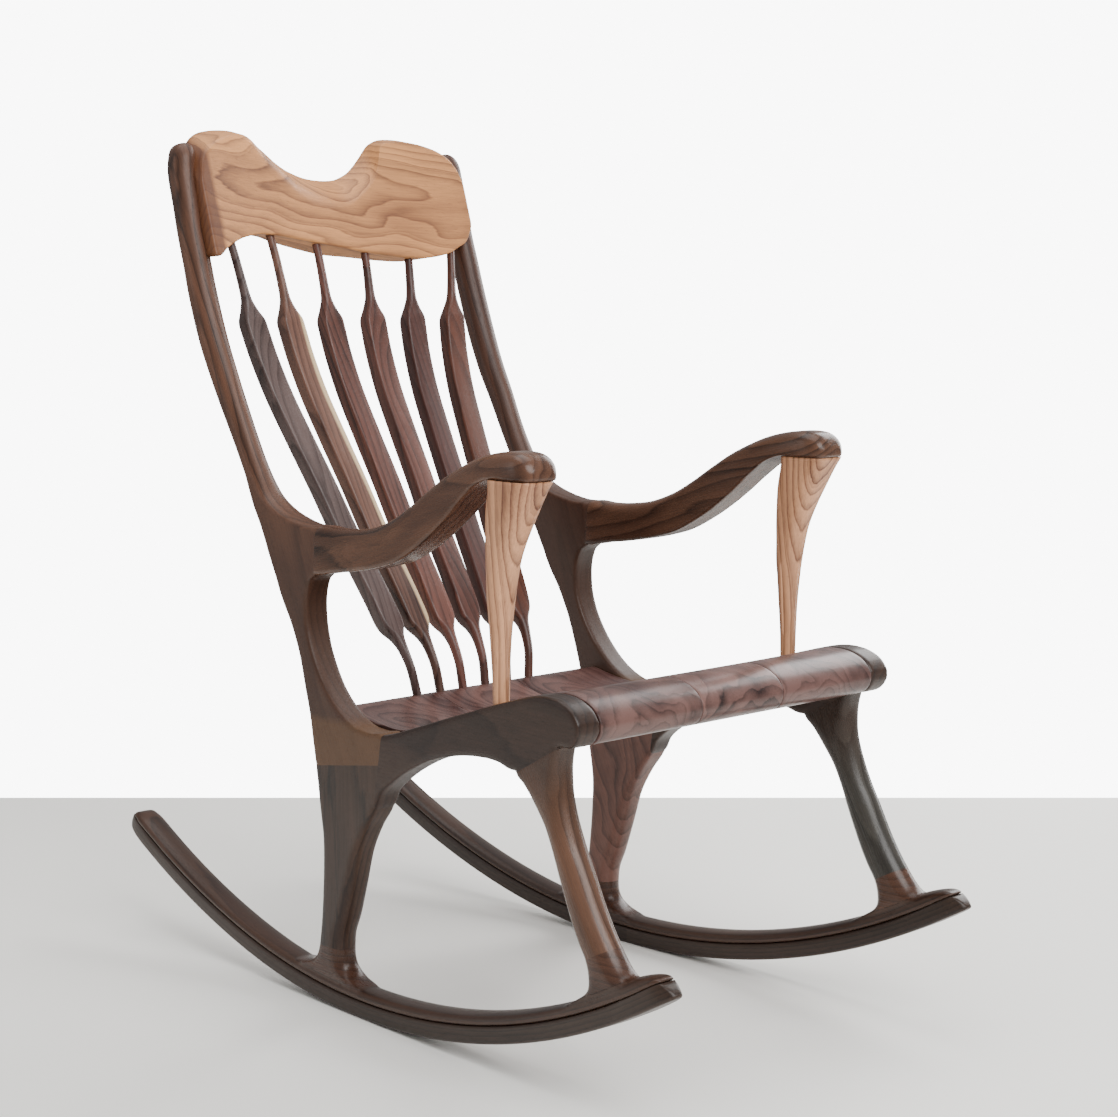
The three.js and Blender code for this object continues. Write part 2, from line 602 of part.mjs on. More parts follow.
const boards = {
  seat_board_right: seatBoard((y) => -railInside(y), () => -MIDDLE_BOARD_HALF - GAP / 2, 4),
  seat_board_middle: seatBoard(() => -MIDDLE_BOARD_HALF + GAP / 2, () => MIDDLE_BOARD_HALF - GAP / 2, 4),
  seat_board_left: seatBoard(() => MIDDLE_BOARD_HALF + GAP / 2, railInside, 4),
};

for (let number = 1; number <= 6; number += 1) {
  const socket = spindle(number, GAP);
  crest = cut(crest, socket);
  for (const name of Object.keys(boards)) boards[name] = cut(boards[name], socket);
  chair.add(meshOf(`spindle_${number}`, spindle(number), MATERIALS.spindle));
}

chair.add(meshOf('crest_rail', crest, MATERIALS.crest));
for (const [name, solid] of Object.entries(boards)) chair.add(meshOf(name, solid, MATERIALS.seat));

// The origin is on the floor, under the middle of the chair's length.
const reach = new THREE.Box3().setFromObject(chair);
chair.position.y = -(reach.min.y + reach.max.y) / 2;

export default chair;
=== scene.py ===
import math

import bmesh
import bpy
import numpy as np
from mathutils import Matrix, Vector


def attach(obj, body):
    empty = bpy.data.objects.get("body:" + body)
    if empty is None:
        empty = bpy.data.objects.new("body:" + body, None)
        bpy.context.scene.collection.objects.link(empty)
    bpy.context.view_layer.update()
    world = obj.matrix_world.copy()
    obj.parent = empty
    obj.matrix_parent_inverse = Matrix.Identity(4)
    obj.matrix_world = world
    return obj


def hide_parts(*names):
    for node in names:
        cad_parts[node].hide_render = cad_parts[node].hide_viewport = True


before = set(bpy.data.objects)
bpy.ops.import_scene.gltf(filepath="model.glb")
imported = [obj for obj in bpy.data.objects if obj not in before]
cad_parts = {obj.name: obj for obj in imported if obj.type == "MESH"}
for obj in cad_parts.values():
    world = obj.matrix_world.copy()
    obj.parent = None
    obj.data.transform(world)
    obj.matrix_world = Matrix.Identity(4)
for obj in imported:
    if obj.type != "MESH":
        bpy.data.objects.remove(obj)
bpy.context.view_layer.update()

# ---- Room ----------------------------------------------------------------------------------
# A pale plain floor under soft studio light: a wide key beside the camera, a window-like panel
# to the right of the chair, a soft one above, a faint one behind its left and a dim surround.
FLOOR_FAR = 1.05
FLOOR_NEAR = 2.6
FLOOR_SIDE = 2.4
FLOOR_GREY = (0.95, 0.935, 0.89, 1.0)
SURROUND = (1.0, 1.0, 1.0, 1.0)
SURROUND_STRENGTH = 0.46
WALL_STRENGTH = 9.0
CAMERA_PLACE = (-1.99167, -2.22270, 0.93712)
CAMERA_RIGHT = (0.73032, -0.68311, 0.0)
CAMERA_UP = (0.08494, 0.09081, 0.99224)
CAMERA_FORWARD = (0.67781, 0.72465, -0.12435)
LENS = 74.06
SENSOR_WIDTH = 36.0

floor_mesh = bpy.data.meshes.new("floor")
ahead = Vector(CAMERA_FORWARD).to_2d().normalized()
aside = Vector((ahead.y, -ahead.x))
floor_corners = []
for reach, spread in ((FLOOR_FAR, -1), (FLOOR_FAR, 1), (-FLOOR_NEAR, 1), (-FLOOR_NEAR, -1)):
    corner = ahead * reach + aside * spread * FLOOR_SIDE
    floor_corners.append((corner.x, corner.y, 0.0))
floor_mesh.from_pydata(floor_corners, [], [(3, 2, 1, 0)])
floor = bpy.data.objects.new("floor", floor_mesh)
bpy.context.scene.collection.objects.link(floor)
floor_paint = bpy.data.materials.new("pale_floor")
floor_paint.use_nodes = True
floor_shader = floor_paint.node_tree.nodes["Principled BSDF"]
floor_shader.inputs["Base Color"].default_value = FLOOR_GREY
floor_shader.inputs["Roughness"].default_value = 0.75
floor_mesh.materials.append(floor_paint)

world = bpy.data.worlds.new("studio")
bpy.context.scene.world = world
world.use_nodes = True
world.node_tree.nodes["Background"].inputs["Color"].default_value = SURROUND
world.node_tree.nodes["Background"].inputs["Strength"].default_value = SURROUND_STRENGTH
# Seen directly, the surround is a brightly lit white wall
wall = world.node_tree.nodes.new("ShaderNodeBackground")
wall.inputs["Color"].default_value = SURROUND
wall.inputs["Strength"].default_value = WALL_STRENGTH
seen = world.node_tree.nodes.new("ShaderNodeLightPath")
either = world.node_tree.nodes.new("ShaderNodeMixShader")
world_links = world.node_tree.links
world_links.new(seen.outputs["Is Camera Ray"], either.inputs[0])
world_links.new(world.node_tree.nodes["Background"].outputs[0], either.inputs[1])
world_links.new(wall.outputs[0], either.inputs[2])
world_links.new(either.outputs[0], world.node_tree.nodes["World Output"].inputs["Surface"])


def panel(name, place, aim, size, watts):
    light = bpy.data.lights.new(name, "AREA")
    light.shape = "RECTANGLE"
    light.size, light.size_y = size
    light.energy = watts
    holder = bpy.data.objects.new(name, light)
    holder.location = place
    holder.rotation_euler = (Vector(aim) - Vector(place)).to_track_quat("-Z", "Y").to_euler()
    bpy.context.scene.collection.objects.link(holder)


panel("key", (-0.5, -3.1, 2.9), (0.0, 0.0, 0.5), (2.8, 2.2), 165.0)
panel("window", (2.8, 0.2, 1.7), (0.0, 0.0, 0.6), (2.0, 2.6), 110.0)
panel("left_edge", (-2.5, 1.7, 1.5), (0.0, 0.0, 0.6), (0.8, 2.2), 9.0)
panel("ceiling", (0.0, 0.3, 3.2), (0.0, 0.0, 0.4), (2.4, 2.4), 50.0)

camera = bpy.data.cameras.new("camera")
camera.lens = LENS
camera.sensor_width = SENSOR_WIDTH
camera_holder = bpy.data.objects.new("camera", camera)
camera_axes = [CAMERA_RIGHT, CAMERA_UP, tuple(-part for part in CAMERA_FORWARD)]
camera_turn = Matrix(camera_axes).transposed().to_4x4()
camera_holder.matrix_world = Matrix.Translation(CAMERA_PLACE) @ camera_turn
bpy.context.scene.collection.objects.link(camera_holder)
bpy.context.scene.camera = camera_holder

# ---- Sides ---------------------------------------------------------------------------------
# Each side is a plank frame of black walnut, glued end to end on dowels and shaped as one flowing
# piece. The two are mirrored and toed in towards the back. Sizes are millimetres in the side's
# own plane: Y towards the back, Z up.
MM = 0.001
CENTRE_SHIFT = 2.877             # the drawn side is moved back by this to centre the chair
SIDE_X = 239.0
TOE = 0.032
PLANK = 35.0
PLANK_OFFSET = 1.5
ROCKER_RADIUS = 1071.0
ROCKER_DEPTH = 36.0
ROCKER_TAPER = 0.07
ROCKER_WIDTH = 38.0
TAIL_DROOP = 7.0
TAIL_START = 14.0                # degrees back from the middle of the rocker
TAIL_END = 31.2
GLUE_LINE = 22.0                 # between the rocker's two laminations, above its underside
STATION_STEP = 4.0
LEAST_RADIUS = 0.3
VOXEL = 0.0020
FAIRING_ROUNDS = 10
FAIRING_STRENGTH = 0.5
OIL_SHEEN = 0.30
LATE_WOOD = 0.9                  # where in a year's ring its darkest line lies
LATE_START = 0.12                # how far before that line the ring starts to darken
TONE_DRIFT = 0.23                # a slower change of tone, in cycles per ring
PORE_CUT = 0.63                  # noise above this is an open pore
GRAIN_RELIEF = 0.18
GRAIN_DEPTH = 0.0006
# How finely each part of the figure repeats: along the grain, and twice across it
FINE_SCALE = (9.0, 60.0, 60.0)
FIBRE_SCALE = (14.0, 420.0, 420.0)
PORE_SCALE = (60.0, 1400.0, 1400.0)
CLOUD_SCALE = (2.5, 14.0, 14.0)
WARMTH_SCALE = (1.5, 7.0, 7.0)


class Socket:
    """A node's output that Python's operators work on, adding the nodes that they need."""

    def __init__(self, tree, output):
        self.tree = tree
        self.output = output

    def node(self, kind, settings, inputs, output=0):
        new = self.tree.nodes.new(kind)
        for key, value in settings.items():
            if key == "stops":
                ramp = new.color_ramp.elements
                for extra in value[2:]:
                    ramp.new(extra[0])
                for element, (place, shade) in zip(ramp, value):
                    element.position = place
                    element.color = (shade, shade, shade, 1.0)
            else:
                setattr(new, key, value)
        for key, value in inputs.items():
            if isinstance(value, Socket):
                self.tree.links.new(value.output, new.inputs[key])
            else:
                new.inputs[key].default_value = value
        return Socket(self.tree, new.outputs[output])

    def math(self, operation, first, second=0.0):
        return self.node("ShaderNodeMath", {"operation": operation}, {0: first, 1: second})

    def __add__(self, other):
        return self.math("ADD", self, other)

    def __sub__(self, other):
        return self.math("SUBTRACT", self, other)

    def __rsub__(self, other):
        return self.math("SUBTRACT", other, self)

    def __mul__(self, other):
        return self.math("MULTIPLY", self, other)

    def __truediv__(self, other):
        return self.math("DIVIDE", self, other)

    def __pow__(self, other):
        return self.math("POWER", self, other)

    __radd__ = __add__
    __rmul__ = __mul__

    def clamped(self):
        return self.node("ShaderNodeClamp", {}, {"Value": self})

    def stretched(self, scale):
        return self.node("ShaderNodeVectorMath", {"operation": "MULTIPLY"}, {0: self, 1: scale})

    def noise(self, scale, detail=2.0, rough=0.5, warp=0.0):
        inputs = {"Vector": self, "Scale": scale, "Detail": detail, "Roughness": rough}
        inputs["Distortion"] = warp
        return self.node("ShaderNodeTexNoise", {}, inputs)

    def blend(self, first, second):
        """One colour fading into another as this value goes from 0 to 1."""
        inputs = {0: self, 6: first, 7: second}
        return self.node("ShaderNodeMix", {"data_type": "RGBA"}, inputs, 2)

    def parts(self):
        return [self.node("ShaderNodeSeparateXYZ", {}, {0: self}, k) for k in range(3)]


def walnut(name, pale, dark, streak, pith, turn, ring=0.005, swirl=0.010, contrast=0.8,
           wander=2.2, arc=0.0, gloss=0.36, patch=0.35, washes=()):
    """Oiled walnut. Growth rings lie round a line through pith, along X turned by turn. The grain
    follows that line, or bends round it where arc is set. Ring is the width of a year's growth,
    swirl how far the rings stray and wander how often, patch the strength of the clouds, and
    each wash tints one end or edge, with the wood's own colour or with painted shade:
    (direction, start, width, colour, amount)."""
    material = bpy.data.materials.new(name)
    material.use_nodes = True
    tree = material.node_tree
    coordinates = Socket(tree, tree.nodes.new("ShaderNodeTexCoord").outputs["Object"])
    inputs = {"Vector": coordinates, "Location": pith, "Rotation": turn}
    local = coordinates.node("ShaderNodeMapping", {"vector_type": "TEXTURE"}, inputs)
    along, side, up = local.parts()
    radius = (side * side + up * up) ** 0.5
    if arc:
        angle = side.math("ARCTAN2", side, up)
        grain = coordinates.node("ShaderNodeCombineXYZ", {}, {0: angle * arc, 1: radius, 2: along})
    else:
        grain = local
    slow = grain.stretched((wander, 9.0, 9.0)).noise(1.0, 2.0, 0.5, 0.3)
    fine = grain.stretched(FINE_SCALE).noise(1.0, 3.0, 0.6)
    depth = radius + (slow - 0.5) * (swirl * 4.0) + (fine - 0.5) * (ring * 0.7)
    spaced = depth / ring
    turn_of_ring = spaced.math("FRACT", spaced)
    darkening = (LATE_WOOD - LATE_START, 0.65)
    stops = [(0.0, 0.0), (0.45, 0.18), darkening, (LATE_WOOD, 1.0), (1.0, 0.05)]
    late = turn_of_ring.node("ShaderNodeValToRGB", {"stops": stops}, {0: turn_of_ring})
    year = spaced.math("FRACT", spaced * TONE_DRIFT)
    fibre = grain.stretched(FIBRE_SCALE).noise(1.0, 3.0, 0.65)
    pores = grain.stretched(PORE_SCALE).noise(1.0, 1.0, 0.5)
    clouds = grain.stretched(CLOUD_SCALE).noise(1.0, 3.0, 0.6, 0.4)
    ink = late * (contrast * 0.62) + (year - 0.5) * (contrast * 0.25) + (fibre - 0.5) * 0.6
    shade = (ink + (clouds - 0.5) * (patch * 2.4) + 0.18).clamped()
    wood = shade.blend(pale, dark)
    warmth = ((grain.stretched(WARMTH_SCALE).noise(1.0, 2.0) - 0.42) * 2.6).clamped()
    wood = (warmth * (shade * 0.35 + 0.2)).blend(wood, streak)
    places = coordinates.parts() if washes else []
    for weights, start, width, colour, amount in washes:
        reach = sum(part * weight for part, weight in zip(places, weights)) + (slow - 0.5) * 0.012
        wash = ((reach - start) / width).clamped() * amount
        wood = wash.blend(wood, colour)
    dashes = ((pores - PORE_CUT) * 9.0).clamped()
    pore_colour = (dark[0] * 0.4, dark[1] * 0.4, dark[2] * 0.4, 1.0)
    wood = (dashes * 0.35).blend(wood, pore_colour)
    shader = tree.nodes["Principled BSDF"]
    shader.inputs["Specular IOR Level"].default_value = OIL_SHEEN
    tree.links.new(wood.output, shader.inputs["Base Color"])
    rough = gloss + (fibre - 0.5) * 0.16 + dashes * 0.15
    tree.links.new(rough.output, shader.inputs["Roughness"])
    relief = fibre * 0.5 - dashes * 0.5
    inputs = {"Height": relief, "Strength": GRAIN_RELIEF, "Distance": GRAIN_DEPTH}
    bumped = relief.node("ShaderNodeBump", {}, inputs)
    tree.links.new(bumped.output, shader.inputs["Normal"])
    return material


def curve_through(rows):
    """Rows of numbers at even steps along a smooth curve through the given rows."""
    rows = np.array(rows, float)
    middles = (rows[:, 0:2] + rows[:, 2:4]) / 2
    run = np.r_[0, np.cumsum(np.linalg.norm(np.diff(middles, axis=0), axis=1))]
    slopes = np.empty_like(rows)
    slopes[1:-1] = (rows[2:] - rows[:-2]) / (run[2:] - run[:-2])[:, None]
    slopes[0] = (rows[1] - rows[0]) / (run[1] - run[0])
    slopes[-1] = (rows[-1] - rows[-2]) / (run[-1] - run[-2])
    steps = max(2, int(run[-1] / STATION_STEP))
    made = []
    for at in np.linspace(0, run[-1], steps + 1):
        i = min(np.searchsorted(run, at, side="right") - 1, len(run) - 2)
        gap = run[i + 1] - run[i]
        t = (at - run[i]) / gap
        low = rows[i] * (1 + 2 * t) * (1 - t) ** 2 + slopes[i] * gap * t * (1 - t) ** 2
        high = rows[i + 1] * t * t * (3 - 2 * t) + slopes[i + 1] * gap * t * t * (t - 1)
        made.append(low + high)
    return made


def rounded_ring(half_width, half_thickness, upper, lower, steps, straight):
    """A bar's outline: steps points round each corner, straight spans along each flat."""
    corners = [(1, 1, upper), (-1, 1, lower), (-1, -1, lower), (1, -1, upper)]
    points = []
    for quarter, (side_w, side_t, radius) in enumerate(corners):
        radius_w = min(radius, half_width)
        radius_t = min(radius, half_thickness)
        for step in range(steps):
            angle = (quarter + step / (steps - 1)) * math.pi / 2
            points.append((
                side_w * (half_width - radius_w) + radius_w * math.cos(angle),
                side_t * (half_thickness - radius_t) + radius_t * math.sin(angle),
            ))
    dense = []
    for k, point in enumerate(points):
        dense.append(point)
        if k % steps == steps - 1:
            after = points[(k + 1) % len(points)]
            for part in range(1, straight):
                share = part / straight
                step_w = (after[0] - point[0]) * share
                step_t = (after[1] - point[1]) * share
                dense.append((point[0] + step_w, point[1] + step_t))
    return dense


def strip(stations, steps=6, straight=4):
    """Vertices and faces of a bar between two edges. A station is (edge y, z, opposite edge y, z,
    thickness, edge radius, opposite radius, offset outwards); points come out as (x, y, z)."""
    rings = []
    for y0, z0, y1, z1, thickness, upper, lower, offset in curve_through(stations):
        width = math.hypot(y0 - y1, z0 - z1)
        across_y, across_z = (y0 - y1) / width, (z0 - z1) / width
        middle_y, middle_z = (y0 + y1) / 2, (z0 + z1) / 2
        upper, lower = max(upper, LEAST_RADIUS), max(lower, LEAST_RADIUS)
        flat = rounded_ring(width / 2, thickness / 2, upper, lower, steps, straight)
        rings.append([
            (offset + t, middle_y + across_y * w, middle_z + across_z * w) for w, t in flat
        ])
    return tube(rings)


def tube(rings):
    count = len(rings[0])
    points = [point for ring in rings for point in ring]
    faces = []
    for i in range(len(rings) - 1):
        for k in range(count):
            a, b = i * count + k, i * count + (k + 1) % count
            faces.append((a, b, b + count, a + count))
    faces.append(tuple(reversed(range(count))))
    faces.append(tuple(range(len(points) - count, len(points))))
    return points, faces


def mesh_of(name, solids, place):
    """One mesh from several (points, faces), each point passed through place, faces turned out."""
    points, faces = [], []
    for some_points, some_faces in solids:
        start = len(points)
        points += [place(*point) for point in some_points]
        faces += [tuple(start + corner for corner in face) for face in some_faces]
    mesh = bpy.data.meshes.new(name)
    mesh.from_pydata(points, [], faces)
    shape = bmesh.new()
    shape.from_mesh(mesh)
    bmesh.ops.recalc_face_normals(shape, faces=shape.faces)
    for face in shape.faces:
        face.smooth = True
    shape.to_mesh(mesh)
    shape.free()
    return mesh


def piece_of(name, mesh, material, nodes):
    """The finished piece, riding on the chair in place of its CAD nodes."""
    piece = bpy.data.objects.new(name, mesh)
    bpy.context.scene.collection.objects.link(piece)
    mesh.materials.clear()
    mesh.materials.append(material)
    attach(piece, "root")
    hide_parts(*nodes)


def across(y, z, lean, depth, thickness, radius, offset=0.0):
    """A station round the middle of a bar, its depth leaning by so many degrees."""
    half_y = math.cos(math.radians(lean)) * depth / 2
    half_z = math.sin(math.radians(lean)) * depth / 2
    return (y - half_y, z + half_z, y + half_y, z - half_z, thickness, radius, radius, offset)


def plank(y0, z0, y1, z1, upper, lower):
    """A station of the flat plank, between two edges with their own radii."""
    return (y0, z0, y1, z1, PLANK, upper, lower, PLANK_OFFSET)


def on_rocker(degrees, height):
    """A point so many degrees along the rocker and so far above its running edge."""
    angle = math.radians(degrees)
    radius = ROCKER_RADIUS - height
    return radius * math.sin(angle), ROCKER_RADIUS - radius * math.cos(angle)


def lane(degrees, top, bottom, thickness, upper, lower):
    """A station across the rocker. Its tail flattens out a little below the true arc."""
    droop = TAIL_DROOP * max(0.0, (degrees - TAIL_START) / (TAIL_END - TAIL_START)) ** 2
    top_edge = on_rocker(degrees, top - droop)
    bottom_edge = on_rocker(degrees, bottom - droop)
    return (*top_edge, *bottom_edge, thickness, upper, lower, 0.0)


def rocker_depth(degrees):
    return ROCKER_DEPTH - ROCKER_TAPER * degrees


BACK_POST = [
    across(399, 1105, 9, 20, 14, 7, 2), across(398, 1100, 9, 33, 26, 13, 3),
    across(394, 1088, 9, 40, 34, 17, 5), across(391, 1068, 11, 42, 37, 18, 6.5),
    across(379, 1025, 14, 40, 38, 19, 7.5), across(369, 985, 16, 39, 37, 19, 8),
    across(357, 948, 18, 39, 37, 19, 8), across(344, 906, 19, 39, 38, 19, 8),
    across(322.5, 848, 22, 39, 38, 19, 7), across(300, 799, 28, 38, 36, 18, 5),
    across(277, 757, 29, 36, 34, 17, 4), across(255, 716, 29, 33, 33, 16, 2),
    across(235.5, 682, 29, 32, 34, 16, 1), (195, 650, 238.5, 657, 36, 15, 14, 0),
    (168, 633, 224, 633.5, 37, 13, 10, 0), (134, 622.5, 207.5, 609, 37, 12, 8, 0),
    (104, 617.5, 194, 586, 37, 12, 6, 0), (90, 617.2, 189, 575, 37, 12, 6, 0),
    (80, 616.5, 184, 566, 37, 12, 6, 0), (80.5, 604, 181, 560, 37, 9, 6, 0),
    (84, 556, 171, 542, 37, 5, 6, 0), (94, 549, 164, 527, 37, 4, 6, 0),
    (101.5, 531, 154, 510, 37, 4, 6, 0), (103.5, 510, 143, 494, 37, 4, 6, 0),
    (100, 481, 131, 472, 37, 4, 6, 0), (87, 449, 120, 446, 36, 4, 6, 0.5),
    plank(63, 415, 109, 409, 4, 6), plank(33, 388.5, 99, 374, 4, 6), plank(0, 373, 94, 346, 4, 6),
    plank(-30, 370, 91, 331, 4, 6), plank(-55, 371, 89, 320, 4, 6),
    plank(-48.4, 333, 87, 311.5, 4, 6), plank(-46, 320, 86, 300, 4, 6),
]
REAR_LEG = [
    plank(-50, 345, 88, 322, 5, 6), plank(-43.4, 305, 84.5, 290, 5, 7),
    plank(-38.3, 276, 82, 268, 5, 8), (-18, 247, 78, 244, 35, 8, 8, PLANK_OFFSET),
    (0, 214, 75, 219, 36, 11, 9, 1), (14, 168, 77, 171, 37, 14, 11, 0.5),
    (29, 121, 83, 118, 38, 17, 14, 0), (38, 98, 88, 96, 38, 19, 17, 0),
    (40.5, 79.5, 92, 77, 38, 19, 18, 0), (40, 64, 97, 63, 38, 19, 18, 0),
    (33, 50, 107, 54, 38, 19, 18, 0), (16, 40.5, 129, 47.5, 37, 19, 18, 0),
    (-12, 33, 158, 42, 34, 17, 17, 0), (-14, 24, 160, 30, 20, 10, 10, 0),
]
SEAT_RAIL = [
    plank(-40, 367, -28, 282, 4, 5), plank(-55.6, 371, -38.8, 276.4, 4, 5),
    plank(-76, 376.5, -50, 296, 4, 5), plank(-105, 386, -75, 316, 4, 5),
    plank(-140, 397.5, -108, 336, 4, 5), plank(-180, 411, -150, 355, 4, 5),
    plank(-220, 424, -198, 368, 4, 5), plank(-255, 435.5, -240, 373.5, 4, 5),
    plank(-285, 445, -275, 373.3, 4, 5), plank(-312, 453, -301, 367.8, 4, 5),
    plank(-330, 458, -326, 376.6, 4, 5), plank(-348, 461.5, -345, 387.4, 4, 5),
    plank(-366, 462.3, -365, 398.6, 4, 5), plank(-383, 460.5, -384.5, 407.8, 4, 5),
    plank(-398, 455.5, -400, 408.4, 4, 5), plank(-409, 448.5, -411, 415, 4, 5),
    plank(-416.5, 438, -417, 425, 4, 5),
]
FRONT_LEG = [
    (-381, 412, -305, 382, 33, 8, 6, PLANK_OFFSET), plank(-379.5, 404.4, -308.5, 364.3, 8, 6),
    (-377, 390, -317.5, 356, 36, 11, 9, 1), (-377, 374, -326.5, 346, 38, 15, 12, 0.5),
    (-380, 351, -336.5, 331.5, 40, 19, 17, 0), (-388.5, 324, -351.5, 309, 40, 20, 20, 0),
    (-399.5, 296.5, -365, 284, 41, 20, 20, 0), (-413, 272, -376, 256, 41, 20, 20, 0),
    (-436, 229, -396.5, 210, 42, 21, 21, 0), (-448.5, 209, -409.5, 186, 42, 21, 21, 0),
    (-461, 191.5, -420.5, 169, 42, 21, 21, 0), (-474, 175.5, -425.5, 151, 42, 21, 21, 0),
    (-485.5, 165.5, -423, 133, 41, 20, 20, 0), (-496, 163, -404, 120, 39, 19, 19, 0),
    (-508, 162, -378, 104, 35, 17, 17, 0), (-505, 150, -384, 96, 20, 10, 10, 0),
]
ARM = [
    (96, 609, 101, 563, 32, 12, 4, 0), (78.7, 618, 83.7, 556, 37, 12, 4, 0),
    (45, 617, 46, 562, 38, 13, 3, 0), (10, 619, 8, 567, 39, 14, 3, 0),
    (-32, 625.5, -24, 572.5, 40, 15, 3, 0), (-74, 640, -52, 578.5, 41, 16, 3, 0),
    (-110, 659, -86, 588.5, 42, 17, 3, 0), (-144, 680, -119, 604.5, 43, 18, 3, 0),
    (-177, 699, -152, 624, 44, 18, 3, 0), (-207, 712.5, -186, 648.5, 46, 18, 3, 0),
    (-234, 722.5, -217, 673.5, 50, 18, 3, 0), (-259, 729, -246, 693, 54, 18, 3, 0),
    (-284, 733, -275, 701.3, 57, 18, 3, 0), (-308, 734, -306, 701.3, 58, 18, 3, 0),
    (-323, 731.5, -324, 701.3, 55, 18, 3, 0), (-333, 725, -334, 701.3, 47, 17, 3, 0),
    (-339, 714, -339, 702.5, 32, 6, 3, 0),
]
GROOVE_RADIUS = 4.0              # edges either side of the groove, softened away at the ends
ROCKER_UPPER = [
    lane(-31.15, 25, GLUE_LINE, 22, 2.4, 0.3), lane(-30.9, 28.5, GLUE_LINE, 28, 6, 0.3),
    lane(-30.5, 32.5, GLUE_LINE, 32, 10, 0.3), lane(-29.9, 36, GLUE_LINE, 35.5, 14, 0.5),
    lane(-29.2, 38.5, GLUE_LINE, 37, 16, 1), lane(-28.4, 40, GLUE_LINE, 38, 18, 1.5),
] + [
    lane(degrees, rocker_depth(degrees), GLUE_LINE, ROCKER_WIDTH, 19, GROOVE_RADIUS)
    for degrees in range(-26, 29, 2)
] + [
    lane(29.4, 33.6, GLUE_LINE, 37.5, 18, 1.5), lane(30.1, 32, GLUE_LINE, 36, 17, 1),
    lane(30.6, 29.2, GLUE_LINE, 32, 6, 0.6), lane(30.85, 26.2, GLUE_LINE, 27, 3, 0.4),
    lane(31.0, 23.6, GLUE_LINE, 21, 0.8, 0.3),
]
ROCKER_LOWER = [
    lane(-31.6, 5, 1.5, 9, 1.7, 1.7), lane(-31.5, 10, 0.5, 15, 3, 3), lane(-31.3, 17, 0, 21, 4, 4),
    lane(-31.1, 21.2, 0, 24, 1, 4), lane(-30.8, GLUE_LINE, 0, 29, 0.3, 4),
    lane(-30.3, GLUE_LINE, 0, 33.5, 0.3, 4), lane(-29.5, GLUE_LINE, 0, 36.5, 0.5, 4),
    lane(-28.4, GLUE_LINE, 0, 38, 1.5, 4),
] + [
    lane(degrees, GLUE_LINE, 0, ROCKER_WIDTH, GROOVE_RADIUS, 4) for degrees in range(-26, 29, 2)
] + [
    lane(29.4, GLUE_LINE, 0, 37.5, 1.5, 4), lane(30.3, GLUE_LINE, 0.6, 35, 1, 5),
    lane(30.75, GLUE_LINE, 3, 30, 0.6, 5), lane(31.0, 21.6, 7, 24, 0.6, 5),
    lane(31.1, 18.5, 11, 15, 3, 3),
]


def at_side(sign):
    cosine, sine = math.cos(math.atan(TOE)), math.sin(math.atan(TOE))

    def place(x, y, z):
        out = x * cosine - y * sine
        back = x * sine + y * cosine
        return (sign * (out + SIDE_X) * MM, (back + CENTRE_SHIFT) * MM, z * MM)

    return place


def on_chair(x, y, z):
    """A point of the middle pieces, which are drawn in millimetres from the chair's centre line."""
    return (x * MM, (y + CENTRE_SHIFT) * MM, z * MM)


# Straight glue lines, each as two points of the side's plane
ARM_JOINT = (79, 618, 84, 556)
REAR_BLOCK_JOINT = (30, 78, 100, 78)
FRONT_BLOCK_JOINT = (-462, 191.3, -422.6, 169.8)
FRONT_LEG_JOINT = (-384.4, 407.5, -312.5, 368.2)
SEAT_RAIL_JOINT = (-55.3, 371, -38.5, 276.2)
REAR_LEG_JOINT = (-48.2, 332.8, 87, 311.3)
GLUE_JOINTS = (
    ARM_JOINT, REAR_BLOCK_JOINT, FRONT_BLOCK_JOINT, FRONT_LEG_JOINT, SEAT_RAIL_JOINT,
    REAR_LEG_JOINT,
)
FILLET_SPREAD = 1.2              # how far up the legs the rocker's fairing reaches


def below(y, z, y0, z0, y1, z1):
    return z < z0 + (z1 - z0) * (y - y0) / (y1 - y0)


def side_part(y, z):
    """Which piece of the side a point of its plane belongs to."""
    degrees = math.degrees(math.atan2(y, ROCKER_RADIUS - z))
    height = ROCKER_RADIUS - math.hypot(y, ROCKER_RADIUS - z)
    if height < rocker_depth(degrees) + FILLET_SPREAD and z < 260:
        return "rocker_upper"
    if z > 540 and y < 79 + (618 - z) * 0.08:
        return "arm"
    if y > -100 and z < 78:
        return "rear_leg_block"
    if y < -300 and z < 400 and below(y, z, *FRONT_BLOCK_JOINT):
        return "front_leg_block"
    if y < -300 and z < 405 and below(y, z, *FRONT_LEG_JOINT):
        return "front_leg"
    if z < 480 and y < -55.3 + (371 - z) * 0.1772:
        return "seat_rail"
    if y < 200 and below(y, z, *REAR_LEG_JOINT):
        return "rear_leg"
    return "back_post"


def faired(solids):
    """The solids as one body, with the steps where they meet faired away."""
    mesh = mesh_of("side", solids, lambda x, y, z: (x * MM, y * MM, z * MM))
    blank = bpy.data.objects.new("side_blank", mesh)
    bpy.context.scene.collection.objects.link(blank)
    remesh = blank.modifiers.new("join", "REMESH")
    remesh.mode = "VOXEL"
    remesh.voxel_size = VOXEL
    remesh.use_smooth_shade = True
    fair = blank.modifiers.new("fair", "SMOOTH")
    fair.factor = FAIRING_STRENGTH
    fair.iterations = FAIRING_ROUNDS
    bpy.context.view_layer.update()
    depsgraph = bpy.context.evaluated_depsgraph_get()
    shaped = bpy.data.meshes.new_from_object(blank.evaluated_get(depsgraph))
    bpy.data.objects.remove(blank)
    return shaped


